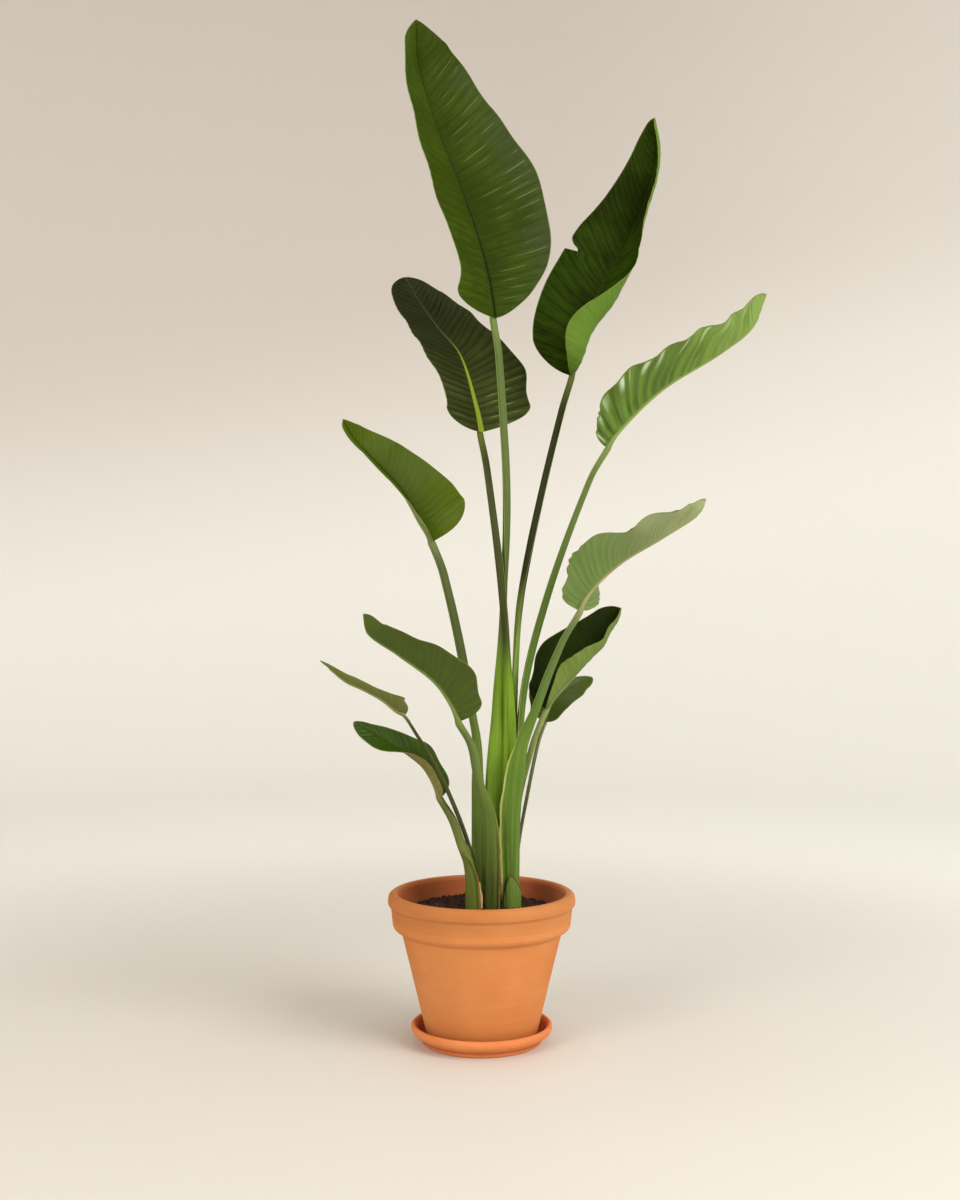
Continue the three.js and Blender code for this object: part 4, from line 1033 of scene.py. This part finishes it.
def buildCrumbTree():
    look = soilLook
    tree, size = geometryTree("crumbs", {
        "Density": look["crumbs"], "Seed": look["seed"], "Smallest": look["smallest"],
        "Largest": look["largest"], "Lumps": look["lumps"]})
    place = Wire(tree.nodes.new("GeometryNodeInputPosition").outputs[0])
    x, y, z = parts(place)
    middle = 1 - ramp((x * x + y * y) ** 0.5, 0.118, 0.126)
    top = ramp(z, 0.18, 0.2)
    lump = (noise(place, 38.0, 4, 0.65) - 0.45) * size["Lumps"] * 3 * middle * top
    mound = moved(size["Start"], place + joined(tree, 0.0, 0.0, lump))
    spread = node(tree, "GeometryNodeDistributePointsOnFaces",
                  {"Mesh": mound, "Density": size["Density"], "Seed": size["Seed"]})
    plug(z.calc("GREATER_THAN", 0.2), spread.inputs["Selection"])
    ball = node(tree, "GeometryNodeMeshIcoSphere", {"Radius": 1.0, "Subdivisions": 1})
    scatter = node(tree, "GeometryNodeInstanceOnPoints",
                   {"Points": Wire(spread.outputs["Points"]), "Instance": Wire(ball.outputs["Mesh"])})

    def random(low, high, seed):
        made = node(tree, "FunctionNodeRandomValue", data_type="FLOAT")
        for socket, value in ((2, low), (3, high), (8, seed)):
            plug(value, made.inputs[socket])
        return Wire(made.outputs[1])

    squeeze = random(0.0, 1.0, 1) ** 2.2
    big = between(size["Smallest"], size["Largest"], squeeze)
    plug(joined(tree, big * random(0.7, 1.5, 2), big * random(0.5, 1.0, 3), big * random(0.35, 0.9, 4)),
         scatter.inputs["Scale"])
    euler = node(tree, "FunctionNodeEulerToRotation")
    plug(joined(tree, *(random(0.0, 6.28, k) for k in (5, 6, 7))), euler.inputs[0])
    plug(Wire(euler.outputs[0]), scatter.inputs["Rotation"])
    both = node(tree, "GeometryNodeJoinGeometry")
    for source in (mound, Wire(scatter.outputs[0])):
        tree.links.new(source.socket, both.inputs[0])
    return endTree(tree, Wire(both.outputs[0]), size["Material"])


def soilFinish():
    made, tree, shader = newFinish("soil", Specular_IOR_Level=0.2)
    place = objectPlace(tree)
    clouds = noise(place, 140.0, 4, 0.7)
    bits = noise(place, 420.0, 3)
    colour = mixed(soilLook["dark"], soilLook["light"], ramp(clouds, 0.4, 0.7))
    colour = mixed(colour, soilLook["shade"], ramp(bits, 0.5, 0.7) * 0.7)
    colour = mixed(colour, soilLook["bark"], ramp(noise(place, 90.0, 2), 0.66, 0.74) * 0.6)
    dressed(shader, colour, bits + clouds, soilLook["depth"], between(0.75, 0.98, ramp(bits, 0.3, 0.7)))
    return made


# Studio: a round pale floor that curves up into a wall on every side, with painted shade high on the wall,
# and glowing more away from the middle
studio = dict(radius=4.8, flatRadius=1.0, bend=1.8, high=4.2, sides=96, arcPoints=33,
              floorPaint=paint(222, 219, 213), wallPaint=paint(238, 238, 235), wallFrom=(0.8, 2.2),
              paintedHighShade=paint(197, 190, 184), highFrom=(0.7, 2.2), highLean=0.15, rightFrom=(0.0, 2.5),
              rightShare=0.4, glow=paint(252, 247, 234), glowStrength=0.135, glowFrom=(0.6, 2.0),
              air=(1.0, 0.92, 0.81, 1.0), airStrength=0.34)
lights = {
    "key": dict(at=(2.75, -2.23, 2.33), aim=(0, 0, 0.7), size=2.75, power=118, tint=(1.0, 0.985, 0.95)),
    "fill": dict(at=(-2.8, -3.2, 2.4), aim=(0, 0, 0.8), size=2.2, power=72, tint=(1.0, 0.94, 0.85)),
    "above": dict(at=(0.3, -0.2, 4.0), aim=(0, 0, 0.6), size=2.4, power=34, tint=(1.0, 0.98, 0.95)),
}
camera = dict(at=(-0.0027, -2.5, 0.745), down=0.88, focalPixels=1565, photoHeight=1200, sensor=36)


def backdropFinish():
    made, tree, shader = newFinish("backdrop paper", Roughness=0.6, Specular_IOR_Level=0.25)
    place = objectPlace(tree)
    x, y, z = parts(place)
    fromMiddle = (x * x + y * y) ** 0.5
    colour = mixed(studio["floorPaint"], studio["wallPaint"], ramp(fromMiddle, *studio["wallFrom"]))
    # Painted shade: the wall darker toward the top and toward the left, less toward the right
    high = ramp(z - x * studio["highLean"], *studio["highFrom"])
    high = high * (1 - ramp(x, *studio["rightFrom"]) * studio["rightShare"])
    dressed(shader, mixed(colour, studio["paintedHighShade"], high), noise(place, 300.0, 2), 0.00005)
    shader.inputs["Emission Color"].default_value = studio["glow"]
    glow = ramp(fromMiddle, *studio["glowFrom"]) * studio["glowStrength"]
    plug(glow, shader.inputs["Emission Strength"])
    made.cycles.emission_sampling = "NONE"  # otherwise every face of it is sampled as a lamp
    return made


def buildBackdrop():
    bend, count = studio["bend"], studio["sides"]
    arc = [(studio["radius"] - bend * (1 - math.sin(a)), bend * (1 - math.cos(a)))
           for a in np.linspace(0, math.pi / 2, studio["arcPoints"])]
    line = [(studio["flatRadius"], 0.0)] + arc + [(studio["radius"], studio["high"])]
    turns = np.arange(count) * 2 * math.pi / count
    points = [(r * math.cos(a), r * math.sin(a), z) for r, z in line for a in turns]
    faces = [tuple(range(count))]
    for i in range(len(line) - 1):
        low, high = i * count, (i + 1) * count
        faces += [(low + j, high + j, high + (j + 1) % count, low + (j + 1) % count) for j in range(count)]
    mesh = bpy.data.meshes.new("backdrop")
    mesh.from_pydata(points, [], faces)
    backdrop = bpy.data.objects.new("backdrop", mesh)
    bpy.context.scene.collection.objects.link(backdrop)
    mesh.materials.append(backdropFinish())
    smoothed(backdrop)


def buildLights():
    for name, light in lights.items():
        data = bpy.data.lights.new(name, "AREA")
        data.shape = "DISK"
        data.size, data.energy, data.color = light["size"], light["power"], light["tint"]
        lamp = bpy.data.objects.new(name, data)
        lamp.location = light["at"]
        aim = Vector(light["aim"]) - Vector(light["at"])
        lamp.rotation_euler = aim.to_track_quat("-Z", "Y").to_euler()
        lamp.visible_camera = False
        bpy.context.scene.collection.objects.link(lamp)
    world = bpy.data.worlds.new("studio air")
    world.use_nodes = True
    sky = world.node_tree.nodes["Background"]
    sky.inputs["Color"].default_value = studio["air"]
    sky.inputs["Strength"].default_value = studio["airStrength"]
    bpy.context.scene.world = world


def buildCamera():
    data = bpy.data.cameras.new("camera")
    data.sensor_width = camera["sensor"]
    data.lens = camera["focalPixels"] * camera["sensor"] / camera["photoHeight"]
    eye = bpy.data.objects.new("camera", data)
    eye.location = camera["at"]
    eye.rotation_euler = (math.radians(90 - camera["down"]), 0, 0)
    bpy.context.scene.collection.objects.link(eye)
    bpy.context.scene.camera = eye
    bpy.context.scene.view_settings.view_transform = "Standard"


buildCamera()
buildBackdrop()
buildLights()
print("studio and camera set")

potClay, saucerClay = clayFinish("pot clay"), clayFinish("saucer clay")
turnedTree = buildTurnedTree()
potLine, saucerLine = refined(potProfile, turnedStep), refined(saucerProfile, turnedStep)
turnedPiece("clay_pot", potLine, turnedTree, potClay, "pot_clay", "pot")
turnedPiece("clay_saucer", saucerLine, turnedTree, saucerClay, "saucer_clay", "saucer")
print("pot and saucer turned")

mound = turnedPiece("potting_soil", soilProfile(), turnedTree, soilFinish(), "soil", "soil")
crumbTree = buildCrumbTree()
crumbs = mound.modifiers.new("crumbs", "NODES")
crumbs.node_group = crumbTree
crumbs[crumbTree.interface.items_tree["Material"].identifier] = mound.data.materials[0]
settled(mound)
print("soil filled,", len(mound.data.polygons), "faces")

bladeTree, stalkTree = buildBladeTree(), buildStalkTree()
margin = edgeFinish()
for seed, (name, leaf) in enumerate(leaves.items()):
    blade = buildBlade(name, leaf, bladeTree, margin, seed * 3.7)
    stalk = buildStalk(name, leaf, stalkTree)
    print(name, len(blade.data.polygons), "and", len(stalk.data.polygons), "faces")

for name, size in sheaths.items():
    buildSheath(name, size)
print("old sheaths added")
